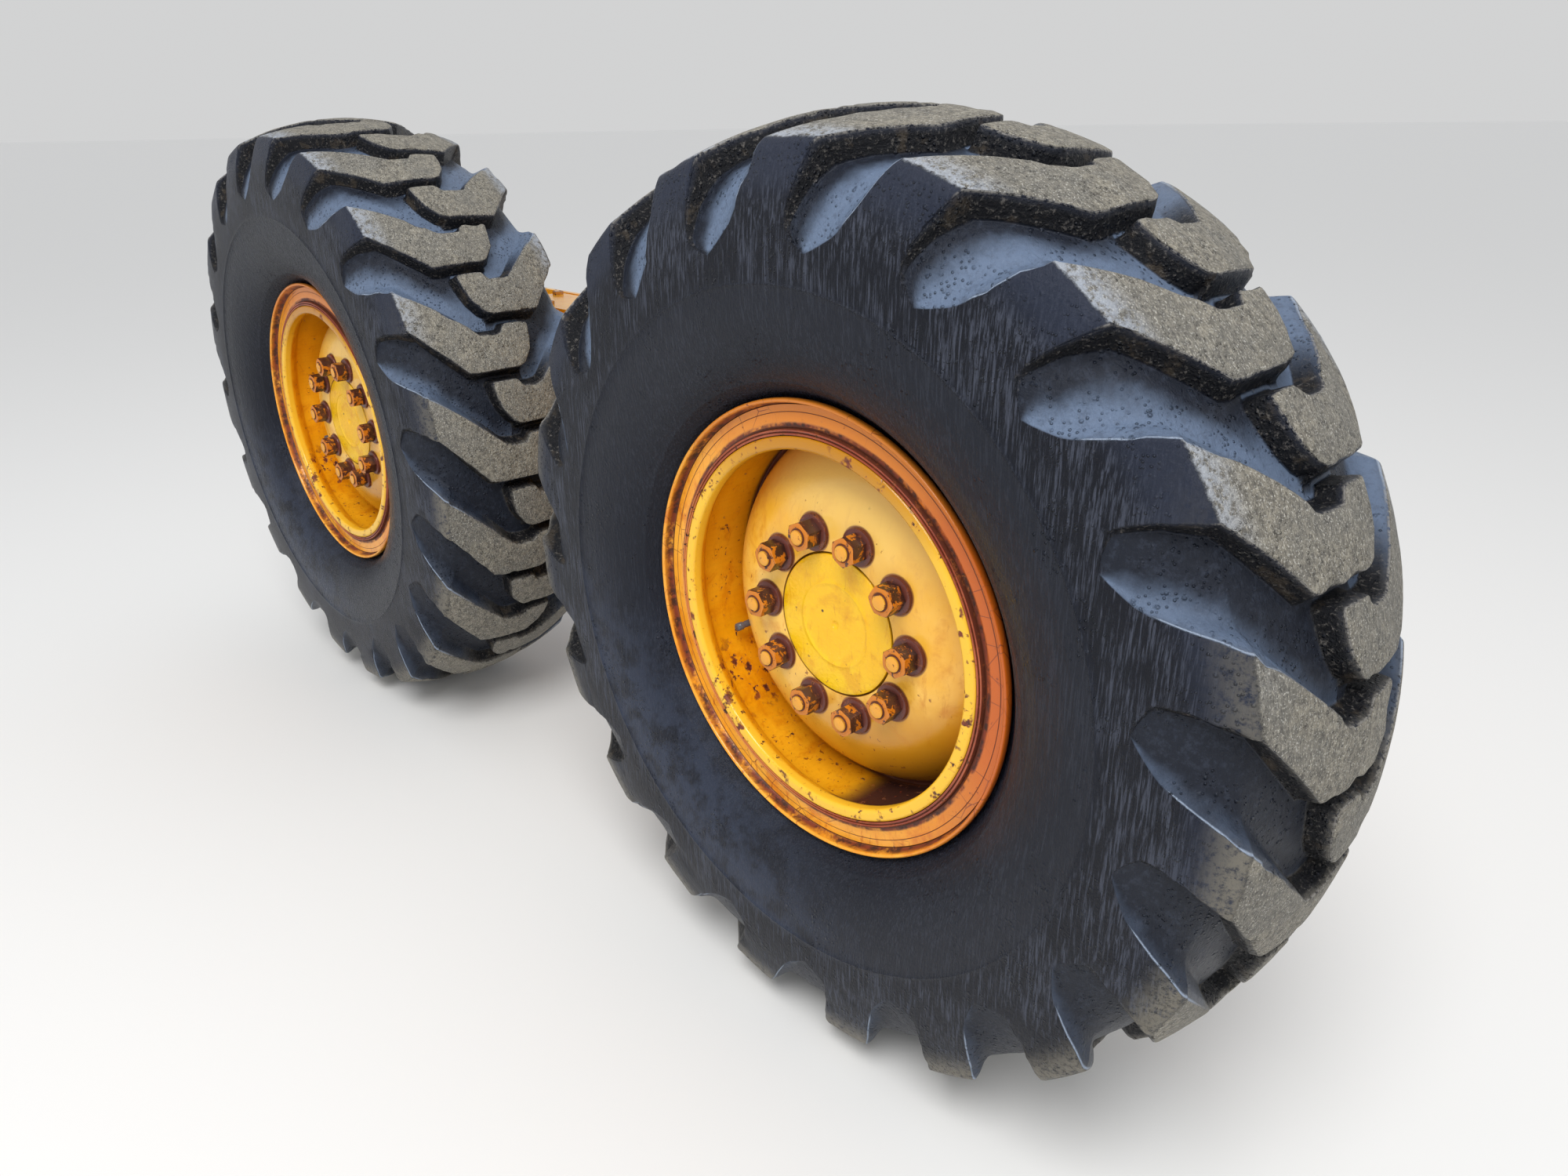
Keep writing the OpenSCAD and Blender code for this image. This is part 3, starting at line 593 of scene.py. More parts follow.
# %% Helpers for finishes
class Finish:
    """One material and the few steps from which its pattern is put together."""

    def __init__(self, name, centre=(0, 0, 0)):
        self.material = bpy.data.materials.new(name)
        self.material.use_nodes = True
        self.tree = self.material.node_tree
        self.shader = self.tree.nodes["Principled BSDF"]
        where = self.tree.nodes.new("ShaderNodeTexCoord")
        mapping = self.tree.nodes.new("ShaderNodeMapping")
        mapping.inputs["Location"].default_value = (-centre[0], -centre[1], -centre[2])
        self.tree.links.new(where.outputs["Object"], mapping.inputs["Vector"])
        self.place = mapping.outputs["Vector"]

    def _set(self, socket, value):
        if isinstance(value, bpy.types.NodeSocket):
            self.tree.links.new(value, socket)
        else:
            socket.default_value = value

    def maths(self, kind, a, b=0.0, clamp=False):
        node = self.tree.nodes.new("ShaderNodeMath")
        node.operation = kind
        node.use_clamp = clamp
        self._set(node.inputs[0], a)
        self._set(node.inputs[1], b)
        return node.outputs[0]

    def stretched(self, x, y, z):
        node = self.tree.nodes.new("ShaderNodeMapping")
        node.inputs["Scale"].default_value = (x, y, z)
        self.tree.links.new(self.place, node.inputs["Vector"])
        return node.outputs["Vector"]

    def grain(self, scale, detail=4, rough=0.55, twist=0.0, place=None):
        node = self.tree.nodes.new("ShaderNodeTexNoise")
        node.inputs["Scale"].default_value = scale
        node.inputs["Detail"].default_value = detail
        node.inputs["Roughness"].default_value = rough
        node.inputs["Distortion"].default_value = twist
        self.tree.links.new(place or self.place, node.inputs["Vector"])
        return node.outputs["Fac"]

    def cells(self, scale, feature="F1", place=None):
        node = self.tree.nodes.new("ShaderNodeTexVoronoi")
        node.feature = feature
        node.inputs["Scale"].default_value = scale
        self.tree.links.new(place or self.place, node.inputs["Vector"])
        return node.outputs["Distance"]

    def above(self, value, low, high):
        """0 below low, 1 above high, smooth between. It falls where low is the larger."""
        node = self.tree.nodes.new("ShaderNodeMapRange")
        node.interpolation_type = "SMOOTHSTEP"
        self._set(node.inputs["Value"], value)
        ends = (low, high, 0.0, 1.0) if low < high else (high, low, 1.0, 0.0)
        for name, v in zip(("From Min", "From Max", "To Min", "To Max"), ends):
            node.inputs[name].default_value = v
        return node.outputs["Result"]

    def band(self, value, middle, half):
        """1 at the middle, falling to 0 at half a band's width on either side."""
        return self.above(self.maths("ABSOLUTE", self.less(value, middle)), half, half * 0.25)

    def plus(self, a, b, clamp=False):
        return self.maths("ADD", a, b, clamp)

    def less(self, a, b, clamp=False):
        return self.maths("SUBTRACT", a, b, clamp)

    def both(self, first, *others):
        """The product: full only where every mask is."""
        for other in others:
            first = self.maths("MULTIPLY", first, other)
        return first

    def length(self, a, b):
        return self.maths("SQRT", self.plus(self.both(a, a), self.both(b, b)))

    def either(self, a, b):
        return self.maths("MAXIMUM", a, b)

    def blend(self, share, a, b):
        node = self.tree.nodes.new("ShaderNodeMix")
        node.data_type = "RGBA"
        self._set(node.inputs[0], share)
        for socket, colour in ((node.inputs[6], a), (node.inputs[7], b)):
            self._set(socket, colour if isinstance(colour, bpy.types.NodeSocket) else (*colour, 1))
        return node.outputs[2]

    def over(self, colour, tone, *masks):
        """The colour with a tone laid over it where every mask is full."""
        return self.blend(self.both(*masks), colour, tone)

    def layer(self, name):
        node = self.tree.nodes.new("ShaderNodeAttribute")
        node.attribute_name = name
        return node.outputs["Fac"]

    def parts(self):
        """A wheel's point: distance from the axle, depth, height, and place along X."""
        node = self.tree.nodes.new("ShaderNodeSeparateXYZ")
        self.tree.links.new(self.place, node.inputs[0])
        x, y, z = node.outputs
        return self.length(x, z), y, z, x

    def slant(self, x, z):
        """How far a point lies across the wheel along a direction."""
        _, _, height, along = self.parts()
        return self.plus(self.both(along, x), self.both(height, z))

    def bumps(self, *layers):
        """Bump from (height, distance in metres, strength) layers."""
        last = None
        for height, distance, strength in layers:
            node = self.tree.nodes.new("ShaderNodeBump")
            node.inputs["Distance"].default_value = distance
            node.inputs["Strength"].default_value = strength
            self.tree.links.new(height, node.inputs["Height"])
            if last:
                self.tree.links.new(last, node.inputs["Normal"])
            last = node.outputs["Normal"]
        self.tree.links.new(last, self.shader.inputs["Normal"])

    def end(self, colour, rough):
        self._set(self.shader.inputs["Base Color"], colour if isinstance(colour, bpy.types.NodeSocket)
                  else (*colour, 1))
        self._set(self.shader.inputs["Roughness"], rough)
        return self.material


# %% [markdown]
# ### Rubber
# The tyres stand wet. The lugs' tops are worn to a brown-grey, speckled skin, with a painted sheen near
# the ridge. The floors of the grooves are smooth, with drops of water; their blue-grey shine is a
# painted reflection of the sky, with painted shade under the lugs' walls. The sidewalls are
# black, with streaks that the rain has drawn straight down, and fine cracks.

# %% Rubber
def rubber(name, axle):
    f = Finish(name, (axle.x, MIDDLE_Y, axle.z))
    radius, depth, height, _ = f.parts()
    top, groove, edge, wall, across = (f.layer(k) for k in MARKS)
    below = f.above(across, 0.5, 0.2)
    edge = f.above(edge, 0.66, 0.94)
    mottle = f.grain(95, 8, 0.8)
    top = f.above(f.plus(top, f.both(mottle, 0.9)), 0.72, 1.02)
    streaks = f.grain(1, 6, 0.72, 0.3, f.stretched(330, 330, 21))
    broad = f.grain(7, 4, 0.6)
    scuffs = f.grain(1, 5, 0.75, 0.4, f.stretched(150, 520, 150))
    speckle = f.grain(430, 2, 0.7)
    blotch = f.grain(24, 5, 0.65)
    grit = f.grain(190, 4, 0.7)
    shoulder = f.above(radius, 0.575, 0.625)
    few = f.above(f.plus(f.grain(16, 3), f.both(f.either(shoulder, groove), 0.10)), 0.52, 0.64)
    drop = f.both(f.either(f.above(f.cells(150), 0.32, 0.08), f.above(f.cells(72), 0.24, 0.05)), few)

    # The sidewall: black, with grey streaks. Its lower part is smoother, with a painted sheen towards the
    # back and the bottom. The lugs' sides carry a painted blue sheen on the upper half of the wheel and are
    # dusty below
    share = f.above(f.plus(streaks, f.both(broad, 0.35)), 0.645, 0.82)
    side = f.blend(share, (0.0035, 0.0048, 0.0100), (0.048, 0.055, 0.078))
    smooth = f.both(f.above(radius, 0.50, 0.485), 0.75)
    side = f.over(side, (0.010, 0.0125, 0.021), smooth)
    # Painted blue sheen on the lugs' sides on the upper half of the wheel
    side = f.over(side, (0.018, 0.024, 0.044), shoulder, f.above(height, -0.30, 0.0), 0.8)
    # Painted sheen on the smooth lower part, towards the back and the bottom
    sheen_patch = f.both(smooth, f.above(f.slant(-0.6, -0.8), 0.22, 0.44))
    side = f.over(side, (0.036, 0.047, 0.078), sheen_patch, f.above(blotch, 0.36, 0.6))
    side = f.over(side, (0.20, 0.182, 0.145), f.above(radius, 0.600, 0.652), f.above(mottle, 0.36, 0.54),
                  f.above(height, 0.42, -0.08), 0.85)

    # The grooves: a painted blue-grey reflection of the sky where they slope up from below, and painted
    # shade under the wall above; low down on the wheel only the slope carries the painted reflection
    # How far across a groove the painted reflection reaches: further on the upper half of the wheel
    lift = f.plus(f.both(f.above(height, -0.1, 0.62), 0.60), f.both(blotch, 0.42))
    middle = f.both(f.above(f.maths("ABSOLUTE", depth), 0.135, 0.08), f.above(height, 0.1, 0.4))
    pale = f.above(f.less(across, f.plus(lift, f.both(middle, 0.2))), 0.00, -0.45)
    # The painted reflection is brighter on the upper half of the wheel
    sheen_tone = f.blend(f.above(height, -0.1, 0.35), (0.062, 0.086, 0.135), (0.125, 0.170, 0.255))
    # Painted shade under the wall above, painted reflection of the sky towards the slope
    floor_sheen_and_shade = f.blend(pale, (0.011, 0.014, 0.023), sheen_tone)
    floor_sheen_and_shade = f.over(floor_sheen_and_shade, (0.045, 0.056, 0.084), f.above(mottle, 0.48, 0.64), 0.4)
    # Lighter streaks in the painted reflection
    floor_sheen_and_shade = f.over(floor_sheen_and_shade, (0.26, 0.31, 0.39), f.above(streaks, 0.58, 0.72), pale, 0.3)

    # The lug tops: worn to brown-grey, scuffed along the way the tyre rolls
    worn = f.blend(f.above(mottle, 0.38, 0.62), (0.128, 0.119, 0.102), (0.315, 0.288, 0.232))
    worn = f.over(worn, (0.165, 0.160, 0.145), f.above(broad, 0.48, 0.60), 0.5)
    worn = f.over(worn, (0.56, 0.52, 0.43), f.above(scuffs, 0.54, 0.66), 0.7)
    worn = f.over(worn, (0.055, 0.050, 0.046), f.above(scuffs, 0.45, 0.35), 0.8)
    worn = f.over(worn, (0.70, 0.68, 0.62), f.above(speckle, 0.58, 0.66), 0.6)
    # Painted blue sheen on the lug tops near the ridge, on the upper half of the wheel
    ridge = f.both(f.above(f.maths("ABSOLUTE", depth), 0.140, 0.184), f.above(mottle, 0.40, 0.56))
    worn = f.over(worn, (0.42, 0.47, 0.56), ridge, f.above(height, 0.1, 0.45), 0.7)

    # The lugs' walls are dark and gritty; torn rubber marks their edges, and a painted highlight lines the
    # edge below each groove on the crown
    dark = f.blend(f.above(grit, 0.54, 0.68), (0.0060, 0.0065, 0.009), (0.125, 0.115, 0.105))
    dark = f.over(dark, (0.075, 0.058, 0.040), f.above(blotch, 0.54, 0.66), 0.6)
    colour = f.blend(top, f.blend(wall, f.blend(groove, side, floor_sheen_and_shade), dark), worn)
    torn = f.both(edge, f.above(grit, 0.40, 0.54), f.above(radius, 0.640, 0.658))
    colour = f.over(colour, (0.36, 0.34, 0.31), torn, 0.7)
    # Painted highlight along the edge below each groove
    colour = f.over(colour, (0.35, 0.42, 0.54), edge, below, f.above(radius, 0.672, 0.655), 0.9)
    colour = f.over(colour, (0.060, 0.072, 0.100), drop, f.less(1.0, top), 0.2)

    rough = f.less(f.plus(f.both(streaks, 0.4), 0.16), f.both(smooth, 0.14))
    rough = f.less(f.plus(rough, f.both(top, 0.24)), f.both(drop, 0.22), True)
    cracks = f.above(f.cells(60, "DISTANCE_TO_EDGE", f.stretched(1, 1, 0.22)), 0.0, 0.05)
    rugged = f.both(grit, f.plus(0.25, f.plus(top, f.either(wall, edge))))
    f.bumps((streaks, 0.0024, 0.6), (cracks, 0.0008, 0.3), (rugged, 0.0046, 0.8), (scuffs, 0.0014, 0.6),
            (drop, 0.0030, 1.0))
    f.shader.inputs["Specular IOR Level"].default_value = 0.22
    return f.end(colour, rough)


for end, tyre in tyres.items():
    tyre.data.materials.append(rubber("Wet worn rubber, " + end, AXLES[end]))

# %% [markdown]
# ## The rims
# A rim for such a tyre comes apart: a barrel with a gutter lip, a loose side ring that
# holds the tyre's bead, and a split lock ring that keeps the side ring on. All are turned
# shapes, so each is a loop of points spun round the axle, with its rounded edges drawn
# in the loop. The lock ring's split is left out here.

# %% Rim rings on the front wheel
axle = AXLES["front"]
side_ring = spun_ring("front_side_ring_painted", [
    (295.4, 16.5), (297, 15.8), (306, 16.6), (316, 17.2), (325, 17.6), (327.4, 17.2), (327.9, 18.6),
    (329.2, 16.2), (330.6, 12.5), (331.2, 8), (331.5, 4.5), (332.3, 1.9), (333.6, 0.5), (335, 0),
    (336.4, 0.5), (337.5, 1.8), (338, 4), (338, 7.5), (337.6, 11), (336, 14), (333, 19), (328.9, 23.8),
    (324, 28.5), (319.7, 32.5), (315, 33.8), (305, 33.9), (304.8, 91), (304, 92), (295.3, 92)], axle, 192)
lock_ring = spun_ring("front_lock_ring_rusty", [
    (286, 11), (286.4, 9.4), (287.6, 8.8), (289, 9.4), (289.8, 11.6), (290.7, 11.8), (291.4, 9.9),
    (292.7, 9.3), (294, 10), (294.7, 12), (294.9, 16), (295, 32.6), (279.8, 32.6), (279.8, 25.4),
    (286, 25.4)], axle, 192)
rim_base = spun_ring("front_rim_base_painted", arc(280.4, 12.3, 5.2, 0, -90)
                     + arc(272.4, 13.3, 6.2, -90, -180) + [
    (266.2, 20), (266.8, 25), (269, 30), (273.5, 36), (279, 42), (283.2, 46), (285, 49), (285, 70),
    (285, 120), (285, 200), (285, 303), (303, 303), (310, 302), (315, 300), (325, 310), (329.5, 317),
    (331, 320.5), (334, 322), (336.6, 320.8), (338, 317), (337.8, 312), (336, 308), (329, 298),
    (320, 289.5), (312, 288), (304.8, 288), (304.8, 240), (295, 230), (295, 33.2), (279.5, 33.2),
    (279.5, 25.2), (285.6, 25.2)], axle, 192)

# %% [markdown]
# The disc is pressed from plate: a flat bolting face round the hub cover, and a dome that
# falls back to the barrel ever more steeply, where a weld runs all round. The weld's
# ripples are made by moving the points of its ring in and out a little, round the axle.

# %% Disc with its weld
DISC_IN, DOME_FROM, DOME, DISC_R, DISC_T = 55.0, 150.0, 110.0, 284.7, 16.0
ball = ((DISC_R - DOME_FROM) ** 2 + DOME ** 2) / (2 * DOME)


def dome_depth(radius, size=ball):
    return DISC_IN + ball - math.sqrt(max(0, size ** 2 - max(0, radius - DOME_FROM) ** 2))


weld = dome_depth(276)
skin = [(r, dome_depth(r)) for r in np.linspace(152, 274, 32)]
bead = [(276, weld - 0.6), (278.5, weld + 3.5), (281, weld + 5.2), (283.3, weld + 5.4), (DISC_R, weld + 4)]
inside = [(r, dome_depth(r, ball - DISC_T)) for r in (270, 262, 250, 235, 215, 190, 170)]
disc = spun_ring("front_disc_painted", [(110.3, 71), (110.3, 56.6), (110.8, 55.4), (112, 55), (140, 55)]
                 + skin + bead + [(DISC_R, 190), (271.8, 190)] + inside + [(165, 71)], axle, 192)
# Only the weld's outer points move: those of its radius that aren't deeper than 160 mm
RIPPLES, RIPPLE, UNEVEN = 96, 0.0008, 0.0011
spots = np.array([v.co for v in disc.data.vertices])
reach = np.hypot(spots[:, 0] - axle.x, spots[:, 2] - axle.z) / MM
around = np.arctan2(spots[:, 2] - axle.z, spots[:, 0] - axle.x)
for v, r, a in zip(disc.data.vertices, reach, around):
    if 277.5 < r < 284 and v.co.y < FLANGE_Y + 0.160:
        v.co.y += RIPPLE * math.sin(a * RIPPLES) + UNEVEN * noise.noise(Vector((a * 9, r, 1)))
print("weld round the disc at", round(weld, 1), "mm depth")

# %% Hub cover
cover = spun_ring("front_hub_cover_painted", [
    (0, 57.4), (3, 57.2), (5, 56.2), (6.4, 54.6), (9, 54.1), (14, 54), (56, 54), (61, 53.9), (62.6, 53.2),
    (64, 52.8), (65.4, 53.2), (67, 53.9), (72, 54), (100, 54), (105.3, 54.1), (107.2, 54.7), (108, 56),
    (108, 63), (0, 63)], axle, 128)

# %% [markdown]
# ## Nuts and valve
# Ten wheel nuts hold the disc, each on a round collar, with the stud's end standing out.
# One nut is made with care and copied. A nut's corners are cut round at the top: a cone
# and the six-sided bar are laid over each other, and only what both fill is kept.

# %% One nut
NUT_CIRCLE, NUTS = 139.7, 10
origin = Vector((0, 0, 0))
start_clean()
bpy.ops.mesh.primitive_cylinder_add(vertices=6, radius=22.6 * MM, depth=29 * MM,
                                    location=(0, FLANGE_Y + 36.5 * MM, 0), rotation=(math.pi / 2, 0, 0))
bar = bpy.context.object
cone = turned_at([(0, 22.4), (19.8, 22.4), (20.7, 22.8), (24, 24.6), (24, 52), (0, 52)], origin)
cut = bar.modifiers.new("Round corners", "BOOLEAN")
cut.operation = "INTERSECT"
cut.object = cone
apply_modifiers(bar)
bpy.data.objects.remove(cone)
bevel = bar.modifiers.new("Soft edges", "BEVEL")
bevel.width = 0.7 * MM
bevel.segments = 2
bevel.limit_method = "ANGLE"
bevel.angle_limit = math.radians(28)
apply_modifiers(bar)
collar = turned_at([(0, 48.6), (21, 48.6), (23.5, 49.4), (26, 49.8), (27.4, 50.6), (28, 51.8), (28, 57),
                    (0, 57)], origin)
stud = turned_at([(0, 18.7), (8.6, 18.7), (10, 19.2), (11, 20.2), (11.5, 21.6), (11.6, 24.2), (12.6, 24.2),
                  (13.2, 22.9), (13.9, 21.9), (15, 21.6), (16, 22), (16.2, 24), (0, 27)], origin)
nut = join((stud, collar, bar), bar)
hold(nut)
bpy.ops.object.transform_apply(location=True, rotation=True, scale=True)
print("one nut has", len(nut.data.polygons), "faces")

# %% Ten nuts on each wheel
def nut_set(axle, name, seed):
    rng = np.random.default_rng(seed)
    copies = []
    for k in range(NUTS):
        a = math.radians(k * 360 / NUTS)
        seat = axle + NUT_CIRCLE * MM * Vector((math.cos(a), 0, math.sin(a)))
        twist = Matrix.Rotation(rng.uniform(0, math.pi / 3), 4, "Y")
        copies.append(copy_of(nut, Matrix.Translation(seat) @ twist))
    return settle(join(copies, copies[0]), name, 30)


front_nuts = nut_set(AXLES["front"], "front_nuts_rusty", 4)
rear_nuts = nut_set(AXLES["rear"], "rear_nuts_rusty", 9)
bpy.data.objects.remove(nut)

# %% Valve stem
VALVE_ANGLE, VALVE_R = math.radians(201), 262
foot = dome_depth(VALVE_R)
stem_at = axle + VALVE_R * MM * Vector((math.cos(VALVE_ANGLE), 0, math.sin(VALVE_ANGLE)))
tip = foot - 37
valve = turned_at([(0, tip), (4.2, tip), (5.4, tip + 0.8), (6.8, tip + 2), (6.2, tip + 3), (6.8, tip + 4),
                   (6.2, tip + 5), (6.8, tip + 6), (6.8, tip + 12), (5.2, tip + 13), (5.2, tip + 19),
                   (5.6, tip + 20), (5.8, foot + 3), (5.8, foot + 24), (0, foot + 24)], stem_at, 20)
settle(valve, "front_valve_stem", 30)

# %% [markdown]
# ## Paint that has rusted
# The rims were painted orange-yellow over and over, and rust has come through where the
# rings rub, at the edges, and where water stands at the bottom. The masks read the
# distance from the axle and the depth in the wheel, so each finish knows its own edges.

# %% Paint
RUST_DARK, RUST_RED, RUST_ORANGE = (0.045, 0.014, 0.008), (0.20, 0.035, 0.012), (0.55, 0.16, 0.03)


def paint(name, centre, base, faded, chips=0.66, chip_scale=55, tints=(), rust_where=None, lines=None,
          gloss=0.2, rugged=0.0006, cracked=0.0, mottled=0.5):
    """Old enamel. tints are (mask, colour); each mask takes the finish and gives 0 to 1."""
    f = Finish(name, centre)
    wide = f.grain(6, 4, 0.6)
    patch = f.grain(18, 6, 0.65, 0.4)
    fine = f.grain(170, 4, 0.6)
    chip = f.grain(chip_scale, 7, 0.72, 0.2)
    aged, stained = (tuple(np.multiply(base, k)) for k in ((0.78, 0.56, 0.5), (0.62, 0.34, 0.3)))
    colour = f.blend(f.above(wide, 0.36, 0.66), base, faded)
    colour = f.over(colour, aged, f.above(patch, 0.50, 0.66), mottled)
    stain = f.above(f.grain(1, 6, 0.7, 0.6, f.stretched(95, 95, 26)), 0.54, 0.72)
    colour = f.over(colour, stained, stain, mottled * 0.9)
    rust = 0.0
    for mask, tone in tints:
        colour = f.over(colour, tone, mask(f), f.above(f.plus(mask(f), f.both(patch, 0.9)), 0.45, 1.0))
    if cracked:
        crack = f.above(f.cells(26, "DISTANCE_TO_EDGE"), 0.022, 0.006)
        colour = f.over(colour, RUST_RED, crack, f.above(wide, 0.45, 0.6), cracked)
    if rust_where:
        worn = f.both(rust_where(f), f.above(f.plus(patch, f.both(fine, 0.25)), 0.42, 0.64))
        colour = f.over(colour, RUST_RED, worn)
        colour = f.over(colour, RUST_DARK, worn, f.above(chip, 0.46, 0.58))
        rust = f.either(rust, worn)
    if lines:
        line = lines(f)
        colour = f.over(colour, (0.11, 0.026, 0.011), line)
        rust = f.either(rust, line)
    chipped = f.above(chip, chips, chips + 0.02)
    colour = f.over(colour, RUST_ORANGE, f.above(chip, chips - 0.05, chips), 0.5)
    colour = f.over(colour, RUST_DARK, chipped)
    freckle = f.both(f.above(f.grain(105, 3, 0.55), 0.66, 0.70), f.above(wide, 0.50, 0.56))
    colour = f.over(colour, RUST_RED, freckle, 0.75)
    rust = f.either(rust, chipped)
    rough = f.plus(f.plus(f.both(rust, 0.35), f.both(fine, 0.2)), gloss - 0.1, True)
    f.bumps((wide, 0.004, 0.12), (fine, rugged, 0.4), (chip, 0.001, 0.25), (f.less(1.0, rust), 0.0006, 0.8))
    return f.end(colour, rough)


# %% Masks on a wheel
def rings(*bands):
    """Bands of radius: (radius, half width) in mm."""
    def mask(f):
        radius = f.parts()[0]
        total = None
        for middle, half_band in bands:
            part = f.band(radius, middle * MM, half_band * MM)
            total = part if total is None else f.either(total, part)
        return total
    return mask


def spot(x, z, near, far):
    """Full within one distance from a place on the wheel, gone at the other, in mm."""
    def mask(f):
        _, _, height, along = f.parts()
        away = f.length(f.less(along, x * MM), f.less(height, z * MM))
        return f.above(away, far * MM, near * MM)
    return mask


def toward(x, z, start, full):
    """Grows across the wheel along a direction, from one distance to the other, in mm."""
    return lambda f: f.above(f.slant(x, z), start * MM, full * MM)


def in_depth(start, full):
    return lambda f: f.above(f.parts()[1], start * MM, full * MM)


def blistered(f):
    """Small blisters of rust low on one side of the barrel, and chips on the edge of its lip."""
    low = f.both(spot(-226, -176, 25, 85)(f), f.above(f.grain(42, 5, 0.65), 0.54, 0.60))
    return f.either(low, f.both(in_depth(10.5, 8)(f), f.above(f.grain(44, 3, 0.6), 0.58, 0.66)))


def stud_distance(f):
    """Distance from the nearest stud: the wheel is folded into a tenth of itself."""
    radius, _, height, along = f.parts()
    turn = f.maths("DIVIDE", f.maths("ARCTAN2", height, along), 2 * math.pi / NUTS)
    off = f.both(f.less(turn, f.maths("ROUND", turn)), 2 * math.pi / NUTS)
    return f.length(f.less(f.both(radius, f.maths("COSINE", off)), NUT_CIRCLE * MM),
                    f.both(radius, f.maths("SINE", off)))


def round_collars(f):
    return f.both(f.above(stud_distance(f), 0.0325, 0.0286), 0.85)


def disc_lines(f):
    radius = f.parts()[0]
    return f.either(f.above(radius, 0.2745, 0.2765), f.above(radius, 0.1112, 0.1098))


def nut_flats(f):
    """Paint that is left on the nuts: their faces, and patches on their flats."""
    depth = f.parts()[1]
    face = f.both(f.above(depth, 0.0236, 0.0226), f.above(f.grain(110, 4, 0.6), 0.34, 0.42))
    left = f.both(f.above(f.grain(62, 4, 0.6, 0.5), 0.53, 0.56), f.above(depth, 0.048, 0.043))
    return f.either(face, left)


def stud_end(f):
    return f.both(f.above(stud_distance(f), 0.0112, 0.0100), f.above(f.parts()[1], 0.0215, 0.0205))


def nut_ring(f):
    return f.both(f.band(stud_distance(f), 0.0121, 0.0021), f.above(f.parts()[1], 0.0262, 0.0255))


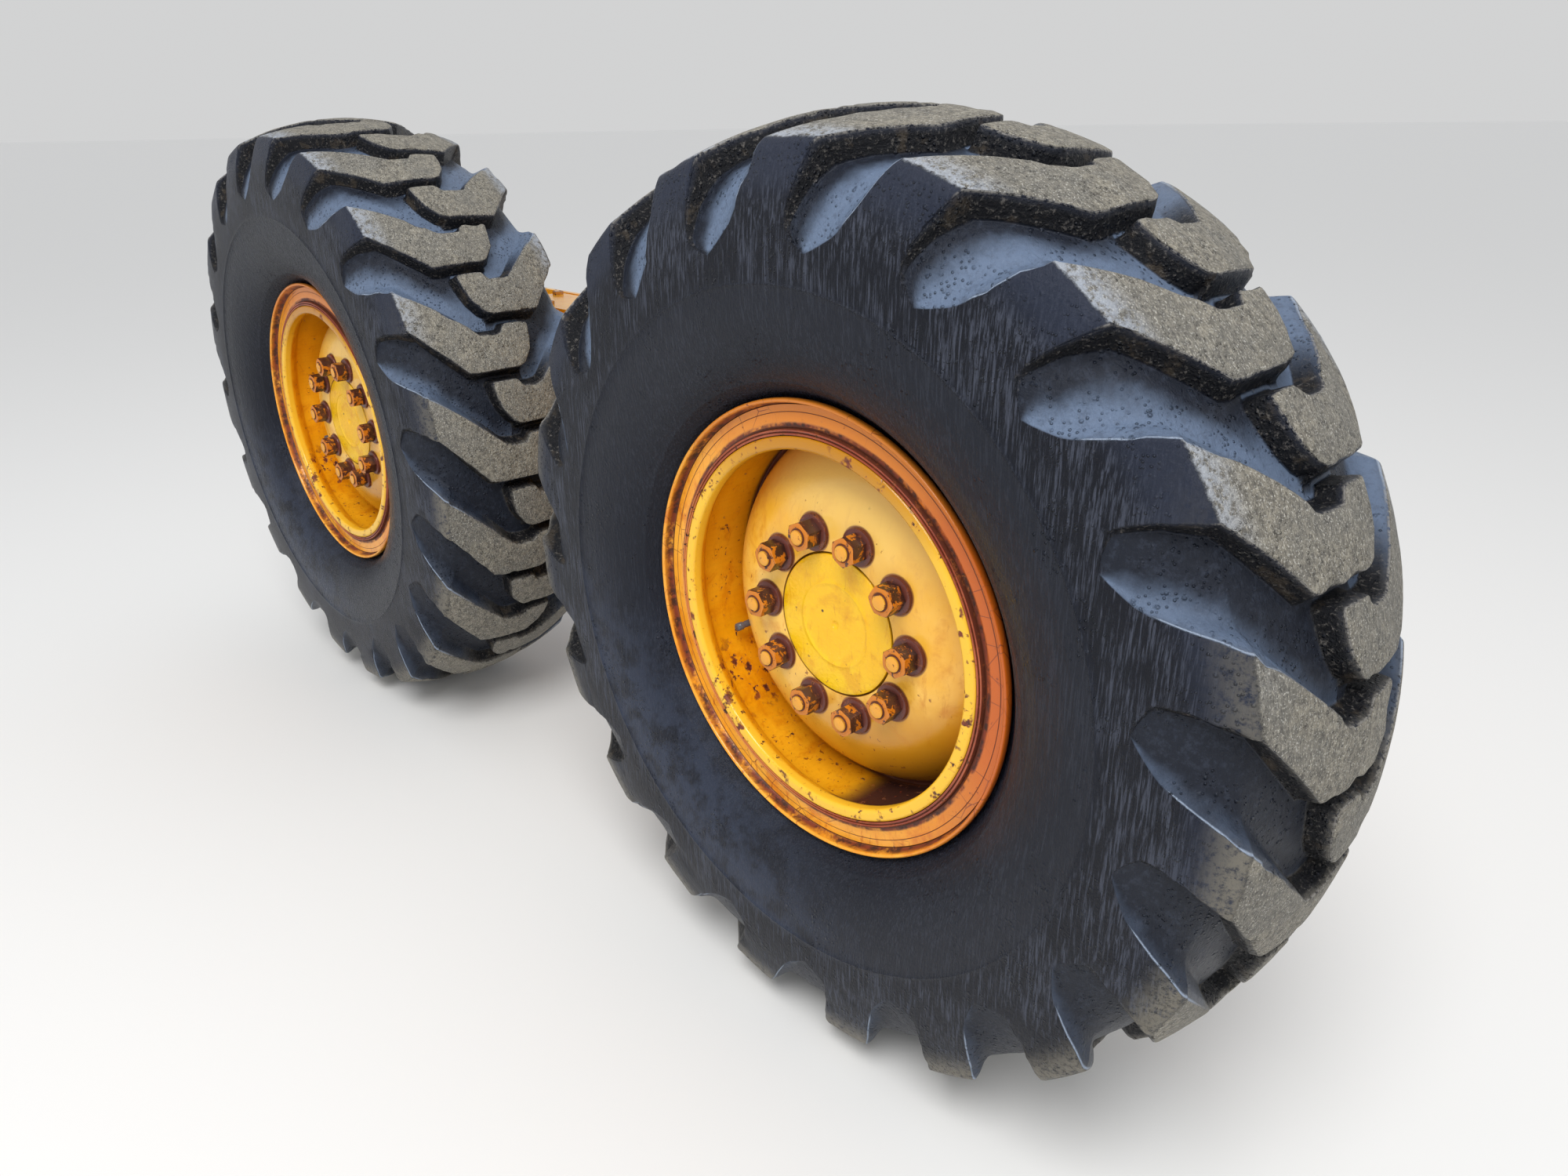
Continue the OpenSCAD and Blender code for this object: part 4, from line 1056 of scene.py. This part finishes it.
# %% The looks of the wheel's pieces
# The finish's name, its fresh and its faded colour, how few chips there are and how small,
# and what else sets it apart
LOOKS = {
    "side_ring": ("Orange enamel", (0.90, 0.35, 0.018), (0.95, 0.44, 0.045), 0.68, 50, dict(
        # Painted shade: the ring is darker towards the front and towards the top
        tints=[(toward(0.95, 0.31, 20, 300), (0.58, 0.120, 0.010)),
               (toward(0, 1, 150, 330), (0.72, 0.22, 0.02))],
        rust_where=rings((299, 5.5), (330, 2.4)), lines=rings((328, 1.3), (296.5, 2.4), (317, 0.8)),
        cracked=0.8, mottled=0.8)),
    "lock_ring": ("Rusty lock ring", (0.26, 0.045, 0.02), (0.42, 0.10, 0.04), 0.60, 70, dict(
        # Painted highlight: lighter towards the back and the bottom
        tints=[(toward(-0.9, -0.43, 60, 260), (0.62, 0.20, 0.05))], lines=rings((289.9, 0.9), (294.6, 0.9)))),
    "rim_base": ("Amber enamel", (0.86, 0.37, 0.004), (0.93, 0.46, 0.012), 0.635, 60, dict(
        # A rust pool at the bottom and a yellow lip; painted shade darkens the top of the barrel and the
        # corner deep by the disc
        tints=[(spot(150, -250, 100, 165), (0.050, 0.021, 0.017)), (in_depth(27, 22), (0.93, 0.53, 0.03)),
               (toward(0, 1, 120, 280), (0.52, 0.21, 0.004)), (in_depth(128, 141), (0.16, 0.05, 0.02))],
        rust_where=blistered, lines=rings((285.8, 0.9)), mottled=0.6)),
    "disc": ("Pale gold enamel", (0.90, 0.46, 0.035), (0.96, 0.58, 0.11), 0.72, 50, dict(
        # Painted shade darkens the disc low down, and painted light makes it paler at its top
        tints=[(toward(0.25, -0.97, 20, 230), (0.56, 0.225, 0.006)),
               (toward(0.2, 0.98, 60, 240), (0.97, 0.64, 0.17)), (round_collars, (0.17, 0.034, 0.02))],
        lines=disc_lines)),
    "hub_cover": ("Lemon enamel", (0.93, 0.50, 0.002), (0.95, 0.58, 0.006), 0.74, 40, dict(
        tints=[(spot(-25, 15, 1.5, 3.2), (0.10, 0.04, 0.01))], lines=rings((109, 1.6)),
        gloss=0.24, rugged=0.0034)),
    "nuts": ("Rusty nuts", (0.042, 0.016, 0.012), (0.09, 0.029, 0.020), 0.62, 90, dict(
        tints=[(in_depth(47.5, 49.5), (0.12, 0.028, 0.018)), (nut_flats, (0.60, 0.185, 0.010)),
               (stud_end, (0.80, 0.35, 0.03))], lines=nut_ring, gloss=0.3)),
    "valve": ("Dull valve", (0.075, 0.085, 0.10), (0.16, 0.17, 0.19), 0.7, 90, {})}

# %% Paint the wheels
turned = {"side_ring": side_ring, "lock_ring": lock_ring, "rim_base": rim_base, "disc": disc,
          "hub_cover": cover, "valve": valve}
# The copies are taken before any piece is told what it rides on and before the solids they stand for are
# hidden
twins = {k: copy_to_rear(v, v.name.replace("front", "rear")) for k, v in turned.items()}
wheels = {"front": dict(turned, nuts=front_nuts), "rear": dict(twins, nuts=rear_nuts)}
for end, made in wheels.items():
    centre = (AXLES[end].x, FLANGE_Y, AXLES[end].z)
    for kind, piece in made.items():
        title, *values, more = LOOKS[kind]
        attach(piece, end + "_wheel")
        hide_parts(end + "_" + kind)
        piece.data.materials.clear()
        piece.data.materials.append(paint(title + ", " + end, centre, *values, **more))

# %% [markdown]
# ## Hubs, case and axle end
# The solids of the case have the right shape already, so they keep it and get a finish:
# yellow enamel with rust low down, chipped paint on hubs and bolts, and dark iron.

# %% Paint the case
# The same as for the wheels, then where rust gathers, and the pieces
CASE_LOOKS = (
    ("Beam enamel", (0.80, 0.36, 0.008), (0.92, 0.5, 0.02), 0.63, 30, toward(0, -1, 150, 380),
     ("tandem_case", "front_spindle", "rear_spindle", "side_cover", "front_top_cover", "rear_top_cover",
      "front_back_cover", "rear_back_cover", "pivot_ring", "axle_end")),
    ("Hub enamel", (0.66, 0.3, 0.01), (0.8, 0.4, 0.03), 0.58, 45, None, ("front_hub", "rear_hub")),
    ("Rusty bolts", (0.5, 0.22, 0.03), (0.66, 0.32, 0.04), 0.52, 90, None, ("cover_bolts",)),
    ("Dark iron", (0.09, 0.07, 0.06), (0.16, 0.13, 0.11), 0.6, 60, None, ("breather", "drain_plugs")))
for title, *values, rust_where, names in CASE_LOOKS:
    finish = paint(title, (0, 0, 0), *values, rust_where=rust_where)
    for name in names:
        mesh = nodes[name].data
        mesh.materials.clear()
        mesh.materials.append(finish)

# %% Sizes, and the end
print("cad box", np.round(cad_box, 4).tolist())
